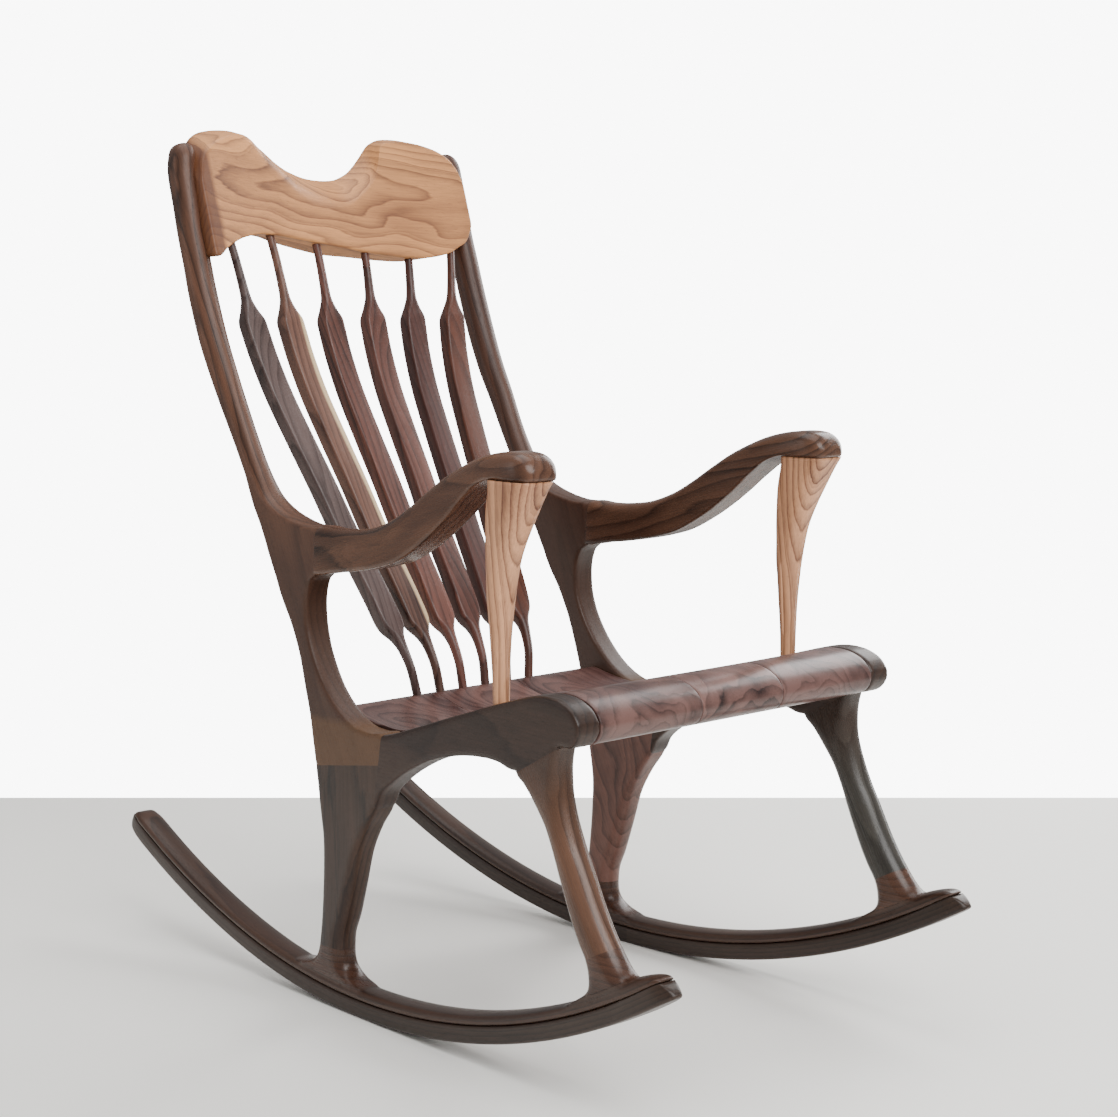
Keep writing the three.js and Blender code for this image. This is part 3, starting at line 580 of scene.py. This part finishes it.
def parted(whole):
    """Splits the faired side at its glue lines: {piece: (points, faces)} in millimetres."""
    shape = bmesh.new()
    shape.from_mesh(whole)
    for y0, z0, y1, z1 in GLUE_JOINTS:
        normal = Vector((0, z1 - z0, y0 - y1)).normalized()
        place = Vector((0, y0 * MM, z0 * MM))
        reach = math.hypot(y1 - y0, z1 - z0) * MM
        middle = Vector((0, (y0 + y1) / 2 * MM, (z0 + z1) / 2 * MM))
        near = []
        for face in shape.faces:
            flat_centre = Vector((0, *face.calc_center_median()[1:]))
            if (flat_centre - middle).length < reach:
                near.append(face)
        parts = set(near)
        for face in near:
            parts.update(face.verts)
            parts.update(face.edges)
        bmesh.ops.bisect_plane(shape, geom=list(parts), plane_co=place, plane_no=normal, dist=1e-6)
    groups = {}
    for face in shape.faces:
        centre = face.calc_center_median()
        groups.setdefault(side_part(centre.y / MM, centre.z / MM), []).append(face)
    shape.verts.index_update()
    made = {}
    for name, faces in groups.items():
        order = {}
        for face in faces:
            for vertex in face.verts:
                order.setdefault(vertex.index, (len(order), vertex.co.copy()))
        points = [tuple(co / MM) for _, co in order.values()]
        made[name] = (points, [tuple(order[v.index][0] for v in face.verts) for face in faces])
    shape.free()
    return made


def closed(mesh):
    """Closes the cut ends of a piece with flat faces that keep their edges crisp."""
    shape = bmesh.new()
    shape.from_mesh(mesh)
    rims = [edge for edge in shape.edges if edge.is_boundary]
    if rims:
        filled = bmesh.ops.holes_fill(shape, edges=rims, sides=0)["faces"]
        for face in filled:
            face.smooth = False
            for edge in face.edges:
                edge.smooth = False
        bmesh.ops.triangulate(shape, faces=filled)
    bmesh.ops.recalc_face_normals(shape, faces=shape.faces)
    shape.to_mesh(mesh)
    shape.free()
    return mesh


UPRIGHT = (0.0, math.radians(-90), 0.0)                      # grain along Z
LEANING = (0.0, math.radians(-66), math.radians(90))         # grain upwards, leaning back
LEG_LEAN = (0.0, math.radians(-60), math.radians(90))        # grain along the front leg
LENGTHWISE = (0.0, 0.0, math.radians(90))                    # grain along Y
ARM_SLOPE = (0.0, math.radians(14), math.radians(90))        # grain along Y, falling to the back
ARC_CENTRE = (0.0, CENTRE_SHIFT * MM, ROCKER_RADIUS * MM)
GOLDEN = (0.135, 0.068, 0.028, 1)
SIDE_LOOK = {
    "back_post": dict(
        pale=(0.135, 0.06, 0.035, 1), dark=(0.013, 0.0058, 0.004, 1),
        streak=(0.085, 0.027, 0.015, 1), pith=(0.3, 0.02, 0.3), turn=LEANING, ring=0.0105,
        swirl=0.012, patch=0.6, contrast=0.85,
        washes=[
            ((0, 0, -1), -0.68, 0.12, (0.05, 0.024, 0.0145, 1), 0.7),
            ((0, 0, -1), -0.38, 0.01, GOLDEN, 0.5),
        ],
        gloss=0.42,
    ),
    "rear_leg": dict(
        pale=(0.058, 0.03, 0.019, 1), dark=(0.007, 0.0042, 0.0033, 1),
        streak=(0.042, 0.017, 0.011, 1), pith=(0.36, 0.05, 0.0), turn=UPRIGHT, ring=0.008,
        swirl=0.006, patch=0.55, contrast=0.85,
    ),
    "rear_leg_block": dict(
        pale=(0.075, 0.034, 0.021, 1), dark=(0.01, 0.005, 0.004, 1), streak=(0.05, 0.019, 0.012, 1),
        pith=(0.1, 0.3, 2.1), turn=LENGTHWISE, ring=0.009, swirl=0.003, patch=0.5, gloss=0.28,
        contrast=0.6,
    ),
    "seat_rail": dict(
        pale=(0.042, 0.022, 0.0145, 1), dark=(0.005, 0.0031, 0.0026, 1),
        streak=(0.034, 0.0125, 0.0085, 1), pith=(0.42, -0.2, 0.26), turn=LENGTHWISE, ring=0.011,
        swirl=0.016, patch=0.65, contrast=0.85,
    ),
    "front_leg": dict(
        pale=(0.135, 0.068, 0.042, 1), dark=(0.022, 0.011, 0.0075, 1),
        streak=(0.085, 0.034, 0.02, 1), pith=(0.32, -0.3, 0.26), turn=LEG_LEAN, ring=0.009,
        swirl=0.006, patch=0.55, gloss=0.27, contrast=0.855,
        washes=[((0, 0, 1), 0.29, 0.09, (0.036, 0.018, 0.0115, 1), 0.75)],
    ),
    "front_leg_block": dict(
        pale=(0.085, 0.04, 0.025, 1), dark=(0.011, 0.0055, 0.0042, 1),
        streak=(0.055, 0.021, 0.013, 1), pith=(0.1, 0.3, 2.1), turn=LENGTHWISE, ring=0.009,
        swirl=0.003, patch=0.5, gloss=0.28, contrast=0.6,
    ),
    "arm": dict(
        pale=(0.12, 0.057, 0.034, 1), dark=(0.01, 0.005, 0.0036, 1), streak=(0.07, 0.024, 0.015, 1),
        pith=(0.3, 0.0, 0.5), turn=ARM_SLOPE, ring=0.011, swirl=0.016, patch=0.65, gloss=0.27,
        contrast=0.85,
    ),
    "rocker_upper": dict(
        pale=(0.06, 0.03, 0.019, 1), dark=(0.007, 0.0042, 0.0033, 1),
        streak=(0.045, 0.017, 0.0115, 1), pith=ARC_CENTRE, turn=(0.0, 0.0, 0.0), ring=0.006,
        swirl=0.0016, arc=1.05, patch=0.55, contrast=0.75, gloss=0.33,
    ),
    "rocker_lower": dict(
        pale=(0.04, 0.023, 0.0155, 1), dark=(0.006, 0.0038, 0.003, 1),
        streak=(0.03, 0.0135, 0.009, 1), pith=ARC_CENTRE, turn=(0.0, 0.0, 0.0), ring=0.006,
        swirl=0.0016, arc=1.05, patch=0.55, contrast=0.75, gloss=0.35,
    ),
}
# The two left legs come from other boards: a near-black front leg and a red, figured rear one
LEFT_LOOK = {
    # The far, left back post gets a darker copy of the right post's wood: painted shade
    "back_post": dict(pale=(0.08, 0.036, 0.023, 1)),
    "front_leg": dict(
        pale=(0.06, 0.054, 0.046, 1), dark=(0.009, 0.008, 0.007, 1), streak=(0.03, 0.025, 0.02, 1),
    ),
    "rear_leg": dict(
        pale=(0.175, 0.082, 0.062, 1), dark=(0.014, 0.0065, 0.0058, 1),
        streak=(0.1, 0.03, 0.024, 1), pith=(0.2, -0.12, 0.2), turn=LEANING, ring=0.021, swirl=0.032,
        contrast=0.75, wander=5.0,
    ),
}
SIDES = (("left", 1), ("right", -1))

frame_bars = (BACK_POST, REAR_LEG, SEAT_RAIL, FRONT_LEG, ARM, ROCKER_UPPER)
blank_sides = [strip(stations) for stations in frame_bars]
side_pieces = parted(faired(blank_sides))
side_pieces["rocker_lower"] = strip(ROCKER_LOWER, 5, 3)
for side_name, side_sign in SIDES:
    for part_name, solid in side_pieces.items():
        whole_name = f"{part_name}_{side_name}"
        side_mesh = closed(mesh_of(whole_name, [solid], at_side(side_sign)))
        look = SIDE_LOOK[part_name]
        if side_name == "left":
            look = look | LEFT_LOOK.get(part_name, {})
        finish = walnut(f"{whole_name}_wood", **look)
        piece_of(f"{whole_name}_shaped", side_mesh, finish, [whole_name])

# ---- Arm posts -----------------------------------------------------------------------------
# A turned and carved walnut post under the front of each arm. Its round foot is let into the seat
# rail, and it swells and flares upwards into the arm. It is lighter than the arm above it.
ARM_POST_OFFSET = 2.5


def level(z, y, depth, width, radius):
    """A level station of an arm post, round its middle."""
    return (y - depth / 2, z, y + depth / 2, z, width, radius, radius, ARM_POST_OFFSET)


ARM_POST = [
    level(700.9, -301, 69.6, 56.8, 16), level(697, -299.4, 69, 56.5, 17),
    level(688, -296, 66, 55, 19), level(661, -285.5, 60, 51, 21), level(639, -278.5, 52, 47, 21),
    level(613, -272, 44, 41, 20), level(590, -269, 38.5, 37.5, 18.7),
    level(564, -266.5, 34, 34, 17), level(543, -266, 30, 30, 15), level(510, -265.5, 25, 25, 12.5),
    level(470, -266, 21, 21, 10.5), level(436, -266, 19.5, 19.5, 9.7),
    level(426, -266, 19.3, 19.3, 9.6),
]
for side_name, side_sign in SIDES:
    whole_name = f"arm_post_{side_name}"
    post_mesh = mesh_of(whole_name, [strip(ARM_POST, 9, 2)], at_side(side_sign))
    finish = walnut(
        f"{whole_name}_wood", pale=(0.70, 0.355, 0.190, 1), dark=(0.120, 0.048, 0.026, 1),
        streak=(0.34, 0.125, 0.062, 1), pith=(side_sign * 0.235, -0.345, 0.0), turn=UPRIGHT,
        ring=0.0085, swirl=0.010, patch=0.35, gloss=0.36, contrast=1.1,
    )
    piece_of(f"{whole_name}_shaped", post_mesh, finish, [whole_name])

# ---- Seat ----------------------------------------------------------------------------------
# Three walnut boards edge-glued between the rails, dished by hand and rolled over at the front.
# The glue lines show as thin dark seams. Each board has its own swirling purple-brown figure.
SEAT_OUTLINE = [
    (92, 356, 0), (93, 368, 0), (84, 380, 0), (66, 385, 0), (40, 380, 2), (0, 374, 5),
    (-50, 371.5, 6), (-100, 383.5, 9), (-150, 400.5, 11), (-200, 417, 12), (-250, 433.5, 11),
    (-300, 449, 7), (-330, 457.5, 4), (-350, 461.5, 1), (-366, 462, 0), (-383, 460, 0),
    (-398, 455, 0), (-409, 448, 0), (-416.5, 437, 0), (-417, 426, 0), (-411, 415.5, 0),
    (-400, 409, 0), (-384, 408, 0), (-356, 412, 0), (-320, 414, 3), (-280, 404, 8), (-240, 394, 11),
    (-200, 381, 12), (-150, 365, 11), (-100, 349, 9), (-50, 340, 6), (0, 343, 5), (50, 349, 2),
]
MIDDLE_BOARD_HALF = 70.5
RAIL_INSIDE = 223.0
SEAM_RADIUS = 1.2
SEAM_GAP = 0.3
SEAT_LINES = 24                  # rows of faces across each board
BOWL_HALF = 222
BOWL_POWER = 2.2
SEAT_MIDDLE = 372                # height of the middle of the boards' thickness, and its rise
SEAT_RISE = 0.16
ROLL_START = -405
BACK_EDGE = 88


def closed_curve(rows, parts):
    """A smooth closed curve through the rows, with a few points between each pair."""
    rows = np.array(rows, float)
    made = []
    for i in range(len(rows)):
        before, start, end, after = (rows[(i + k) % len(rows)] for k in (-1, 0, 1, 2))
        for part in range(parts):
            t = part / parts
            square = (2 * before - 5 * start + 4 * end - after) * t * t
            cube = (3 * start - before - 3 * end + after) * t ** 3
            made.append((2 * start + (end - before) * t + square + cube) / 2)
    return made


def seat_board(low_side, high_side):
    """A board between two lines, each giving x at a y, its long edges eased for the seams."""
    outline = closed_curve(SEAT_OUTLINE, 4)
    rings = []
    steps = [(0, 1.0), (0.25, 0.35), (0.6, 0.07), (1.0, 0.0)]
    ends = [(SEAM_RADIUS * s, SEAM_RADIUS * inset, 0) for s, inset in steps]
    inner = [(0, 0, k / SEAT_LINES) for k in range(1, SEAT_LINES)]
    other = [(-SEAM_RADIUS * s, SEAM_RADIUS * inset, 1) for s, inset in reversed(steps)]
    for shift, inset, share in ends + inner + other:
        ring = []
        for y, height, dish in outline:
            x = low_side(y) * (1 - share) + high_side(y) * share + shift
            bowl = 1 - min(1, abs(x) / BOWL_HALF) ** BOWL_POWER
            z = height - dish * bowl - inset * math.copysign(1, height - seat_middle(y))
            ring.append((x, y - inset * roll_side(y), z))
        rings.append(ring)
    return tube(rings)


def seat_middle(y):
    return SEAT_MIDDLE + max(0.0, -y) * SEAT_RISE


def roll_side(y):
    """Which way is out at the seat's front and rear edges: -1 at the roll, 1 at the back."""
    if y < ROLL_START:
        return -1
    return 1 if y > BACK_EDGE else 0


def straight(x):
    return lambda y: x


def rail_line(sign):
    return lambda y: sign * (RAIL_INSIDE - TOE * y - SEAM_GAP)


half_seam = MIDDLE_BOARD_HALF + SEAM_GAP / 2
inner_seam = MIDDLE_BOARD_HALF - SEAM_GAP / 2
# Per board: its two edges, the log's heart, the slant of its grain and its pale tone
SEAT_BOARDS = {
    "right": (
        rail_line(-1), straight(-half_seam), (-0.16, -0.1, 0.33), 0.10, (0.140, 0.074, 0.063, 1)
    ),
    "middle": (
        straight(-inner_seam), straight(inner_seam), (0.03, -0.1, 0.30), -0.08,
        (0.160, 0.084, 0.071, 1)
    ),
    "left": (
        straight(half_seam), rail_line(1), (0.13, -0.1, 0.36), 0.05, (0.135, 0.071, 0.061, 1)
    ),
}
for board_name, (low, high, heart, slant, pale_tone) in SEAT_BOARDS.items():
    whole_name = f"seat_board_{board_name}"
    board_mesh = mesh_of(whole_name, [seat_board(low, high)], on_chair)
    finish = walnut(
        f"{whole_name}_wood", pale=pale_tone, dark=(0.012, 0.0066, 0.0064, 1),
        streak=(0.085, 0.028, 0.024, 1), pith=heart, turn=(0.0, slant, math.radians(90)),
        ring=0.014, swirl=0.034, wander=6.0, patch=0.95, gloss=0.3,
    )
    piece_of(f"{whole_name}_shaped", board_mesh, finish, [whole_name])

# ---- Crest rail ----------------------------------------------------------------------------
# One thick slab of pale walnut, sawn and carved to a shallow curve, with a deep scoop in the
# middle of its upper edge. Its ends lap over the front of the back posts, held by dowels.
CREST_END = 231.0
CREST_HOLLOW = 13.0
CREST_DEPTH = 46.0
CREST_LEAN = 0.308
CREST_FACE = 338                 # the front face's place at CREST_FACE_HEIGHT, before its hollow
CREST_FACE_HEIGHT = 960
CREST_HOLLOW_REACH = 200
CREST_LINES = 150
CREST_FRONT_TOP = [
    (-231, 1056), (-223, 1079), (-212, 1094), (-194, 1106), (-175, 1114), (-155, 1119),
    (-137, 1119), (-125, 1113), (-115, 1102), (-104, 1092), (-90, 1080), (-72, 1064), (-58, 1052),
    (-34, 1040), (-2, 1029), (15, 1027.5), (33, 1032), (60, 1050), (74, 1063), (82, 1075),
    (88, 1087), (93, 1101), (99, 1113), (110, 1118), (135, 1120), (160, 1118), (180, 1113.5),
    (198, 1107), (214, 1096), (224, 1080), (231, 1058),
]
CREST_BACK_TOP = [
    (-231, 1086), (-220, 1103), (-205, 1118), (-185, 1126), (-152, 1128.8), (-126, 1127),
    (-109, 1122), (-98, 1114), (-87, 1104), (-77, 1095), (-60, 1083), (-50, 1078), (-26, 1070),
    (0, 1067), (26, 1068), (40, 1072), (55, 1079), (70, 1090), (83, 1101), (98, 1114), (108, 1120),
    (122, 1125), (145, 1126.5), (165, 1125), (185, 1122), (205, 1116), (220, 1106), (231, 1088),
]
CREST_LIP_DEPTH = [(0, 36), (60, 36), (110, 42), (150, 45), (231, 45)]
CREST_UNDERCUT = [
    (-231, 2), (-150, 1), (-121, 3), (-95, 8), (-49, 12), (-11, 13), (32, 10), (76, 8), (119, 6),
    (162, 3), (231, 2),
]
CREST_FRONT_BOTTOM = [
    (-231, 955), (-219, 957), (-205, 967), (-188, 975), (-171, 981), (-139, 985.5), (-101, 983),
    (-64, 978), (-28, 972.5), (9, 967), (45, 962), (82, 957.5), (119, 954.5), (150, 955.5),
    (180, 961), (200, 970), (216, 980), (231, 1004),
]
# Radius of the front upper edge: soft down the left of the scoop, crisp up its right
CREST_LIP_RADIUS = [
    (-231, 5), (-150, 6), (-100, 16), (-30, 15), (10, 6), (40, 2), (110, 2.5), (231, 6),
]
CREST_END_RADIUS = 5.0


def smooth_value(pairs, at):
    """The value at a place on a smooth curve through (place, value) pairs."""
    last = len(pairs) - 1
    i = next((k for k, pair in enumerate(pairs) if pair[0] >= at), last)
    i = min(max(i, 1), last)

    def slope(k):
        low, high = pairs[max(k - 1, 0)], pairs[min(k + 1, last)]
        return (high[1] - low[1]) / (high[0] - low[0])

    (x0, y0), (x1, y1) = pairs[i - 1], pairs[i]
    step = x1 - x0
    t = min(max((at - x0) / step, 0), 1)
    start = y0 * (1 + 2 * t) * (1 - t) ** 2 + slope(i - 1) * step * t * (1 - t) ** 2
    return start + y1 * t * t * (3 - 2 * t) + slope(i) * step * t * t * (t - 1)


def softened(corners, curve_steps, straight_steps):
    """Outline of a polygon whose corners are (y, z, radius) and are rounded by curves."""
    points = []
    for i, (y, z, radius) in enumerate(corners):
        corner = np.array((y, z))
        *after, after_radius = corners[(i + 1) % len(corners)]
        before, after = np.array(corners[i - 1][:2]), np.array(after)
        start = corner + (before - corner) * radius / np.linalg.norm(before - corner)
        end = corner + (after - corner) * radius / np.linalg.norm(after - corner)
        for step in range(curve_steps + 1):
            t = step / curve_steps
            points.append(start * (1 - t) ** 2 + corner * 2 * t * (1 - t) + end * t * t)
        back = corner - after
        reach = after + back * after_radius / np.linalg.norm(back)
        for step in range(1, straight_steps):
            points.append(end + (reach - end) * step / straight_steps)
    return points


def crest_ring(x, inset):
    """The crest's outline across its length at x, drawn in by inset at the ends."""
    def face(z):
        hollow = CREST_HOLLOW * (x / CREST_HOLLOW_REACH) ** 2
        return CREST_FACE - hollow + CREST_LEAN * (z - CREST_FACE_HEIGHT)

    front_top = smooth_value(CREST_FRONT_TOP, x) - inset
    back_top = smooth_value(CREST_BACK_TOP, x) - inset
    front_bottom = smooth_value(CREST_FRONT_BOTTOM, x) + inset
    back_bottom = front_bottom - smooth_value(CREST_UNDERCUT, x)
    lip_depth = smooth_value(CREST_LIP_DEPTH, abs(x))
    corners = [
        (face(front_bottom) + inset, front_bottom, 4.0),
        (face(front_bottom) - inset + CREST_DEPTH - 3, back_bottom, 6.0),
        (face(back_top) - inset + lip_depth, back_top, 12.0),
        (face(front_top) + inset, front_top, smooth_value(CREST_LIP_RADIUS, x)),
    ]
    return [(x, y, z) for y, z in softened(corners, 6, 9)]


end_rings = []
for degrees in range(0, 91, 15):
    turned = math.radians(degrees)
    end_x = CREST_END - CREST_END_RADIUS * (1 - math.cos(turned))
    end_rings.append((end_x, CREST_END_RADIUS * (1 - math.sin(turned))))
inner_end = CREST_END - CREST_END_RADIUS
inner_lines = np.linspace(-inner_end, inner_end, CREST_LINES)
rings = [crest_ring(-x, inset) for x, inset in end_rings[:-1]]
rings += [crest_ring(x, 0.0) for x in inner_lines]
rings += [crest_ring(x, inset) for x, inset in reversed(end_rings[:-1])]
crest_mesh = mesh_of("crest_rail", [tube(rings)], on_chair)
crest_finish = walnut(
    "crest_rail_wood", pale=(0.62, 0.275, 0.100, 1), dark=(0.085, 0.034, 0.018, 1),
    streak=(0.27, 0.100, 0.043, 1), pith=(0.06, 0.415, 1.02),
    turn=(0.0, math.radians(3), math.radians(-4)), ring=0.009, swirl=0.019, wander=3.4,
    contrast=0.95, patch=0.38, gloss=0.42,
    # The end towards -X is darkened over its last few millimetres: partly its darker end grain,
    # partly painted shade on that end
    washes=[((-1, 0, 0), 0.205, 0.008, (0.085, 0.028, 0.014, 1), 0.85)],
)
piece_of("crest_rail_shaped", crest_mesh, crest_finish, ["crest_rail"])

# ---- Spindles ------------------------------------------------------------------------------
# Six bent-laminated walnut back braces: round tenons above and below, and a flat blade between
# them with crisp shoulders. The second one has a strip of pale sapwood down its right edge.
SPINDLE_CURVE = [
    (362, 64), (384, 70), (418, 76), (445, 88), (471, 106), (497, 121), (524, 137), (560, 161),
    (603, 187), (657, 217), (710, 249), (765, 281), (820, 306), (870, 322), (900, 328), (930, 334),
    (960, 341), (1000, 353),
]
SPINDLE_SECTIONS = [
    (364, 12, 12, 6), (384, 12, 12, 6), (418, 12, 12, 6), (442, 13.5, 14, 7), (458, 18, 18, 7),
    (470, 31, 21, 5), (480, 34, 22, 4), (505, 34, 22, 4), (540, 34, 22, 4), (590, 34, 22, 4),
    (650, 34, 22, 4), (710, 34, 22, 4), (770, 34, 22, 4), (820, 34, 22, 4), (858, 34, 22, 4),
    (870, 32, 22, 4), (884, 22, 18, 6), (900, 14.5, 14, 7), (930, 12, 12, 6), (960, 11.5, 11.5, 6),
    (994, 11.5, 11.5, 6),
]
SPINDLE_FOOT_SPACING = 39.4
SPINDLE_FOOT = 384               # heights where feet and heads have the spacings given here
SPINDLE_TOP = 960
SPINDLE_MIDDLE = 3.5             # the middle of the row, counted in spindles
SPINDLE_HEAD = (41, 117, 190)
SPINDLE_HEAD_SHIFT = (7, 4, -4)
SPINDLE_TONES = [
    (0.12, 0.082, 0.074), (0.17, 0.085, 0.059), (0.185, 0.075, 0.055), (0.14, 0.055, 0.04),
    (0.095, 0.039, 0.031), (0.105, 0.038, 0.024),
]
SPINDLE_LEAN = (0.0, math.radians(-62), math.radians(90))
# To the right of the spindle's leaning centre line
SAPWOOD_STRIP = [((1.0, 0.0, 0.1005), -0.0130, 0.003, (0.62, 0.45, 0.26, 1), 0.92)]


def spindle(number):
    place = number - SPINDLE_MIDDLE
    rank = int(abs(place))
    foot = place * SPINDLE_FOOT_SPACING
    head = math.copysign(SPINDLE_HEAD[rank], place)
    stations = []
    for z, width, depth, radius in SPINDLE_SECTIONS:
        share = (z - SPINDLE_FOOT) / (SPINDLE_TOP - SPINDLE_FOOT)
        y = smooth_value(SPINDLE_CURVE, z) + SPINDLE_HEAD_SHIFT[rank] * share
        slope = (smooth_value(SPINDLE_CURVE, z + 4) - smooth_value(SPINDLE_CURVE, z - 4)) / 8
        lean = math.degrees(math.atan(slope))
        offset = foot + (head - foot) * share
        stations.append(across(y, z, lean, depth, width, radius, offset))
    return strip(stations, 6, 3)


for number, tone in enumerate(SPINDLE_TONES, 1):
    whole_name = f"spindle_{number}"
    spindle_mesh = mesh_of(whole_name, [spindle(number)], on_chair)
    foot_x = (number - SPINDLE_MIDDLE) * SPINDLE_FOOT_SPACING * MM
    finish = walnut(
        f"{whole_name}_wood", pale=(*tone, 1), dark=(0.012, 0.0065, 0.0058, 1),
        streak=(0.075, 0.020, 0.013, 1), turn=SPINDLE_LEAN,
        pith=(foot_x + 0.05 * (-1) ** number, 0.02 + 0.012 * number, 0.3),
        ring=0.008, swirl=0.011, patch=0.7, gloss=0.36, washes=SAPWOOD_STRIP if number == 2 else (),
    )
    piece_of(f"{whole_name}_shaped", spindle_mesh, finish, [whole_name])

# ---- Dowels --------------------------------------------------------------------------------
# Plain birch dowels inside the joints. They don't show, so they keep their own shape.
birch = walnut(
    "birch", pale=(0.60, 0.44, 0.27, 1), dark=(0.42, 0.28, 0.16, 1), streak=(0.55, 0.38, 0.22, 1),
    pith=(0.0, 0.0, 0.0), turn=(0.0, 0.0, 0.0), ring=0.004, swirl=0.003,
)
for node_name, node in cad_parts.items():
    if "dowel" in node_name:
        node.data.materials.clear()
        node.data.materials.append(birch)
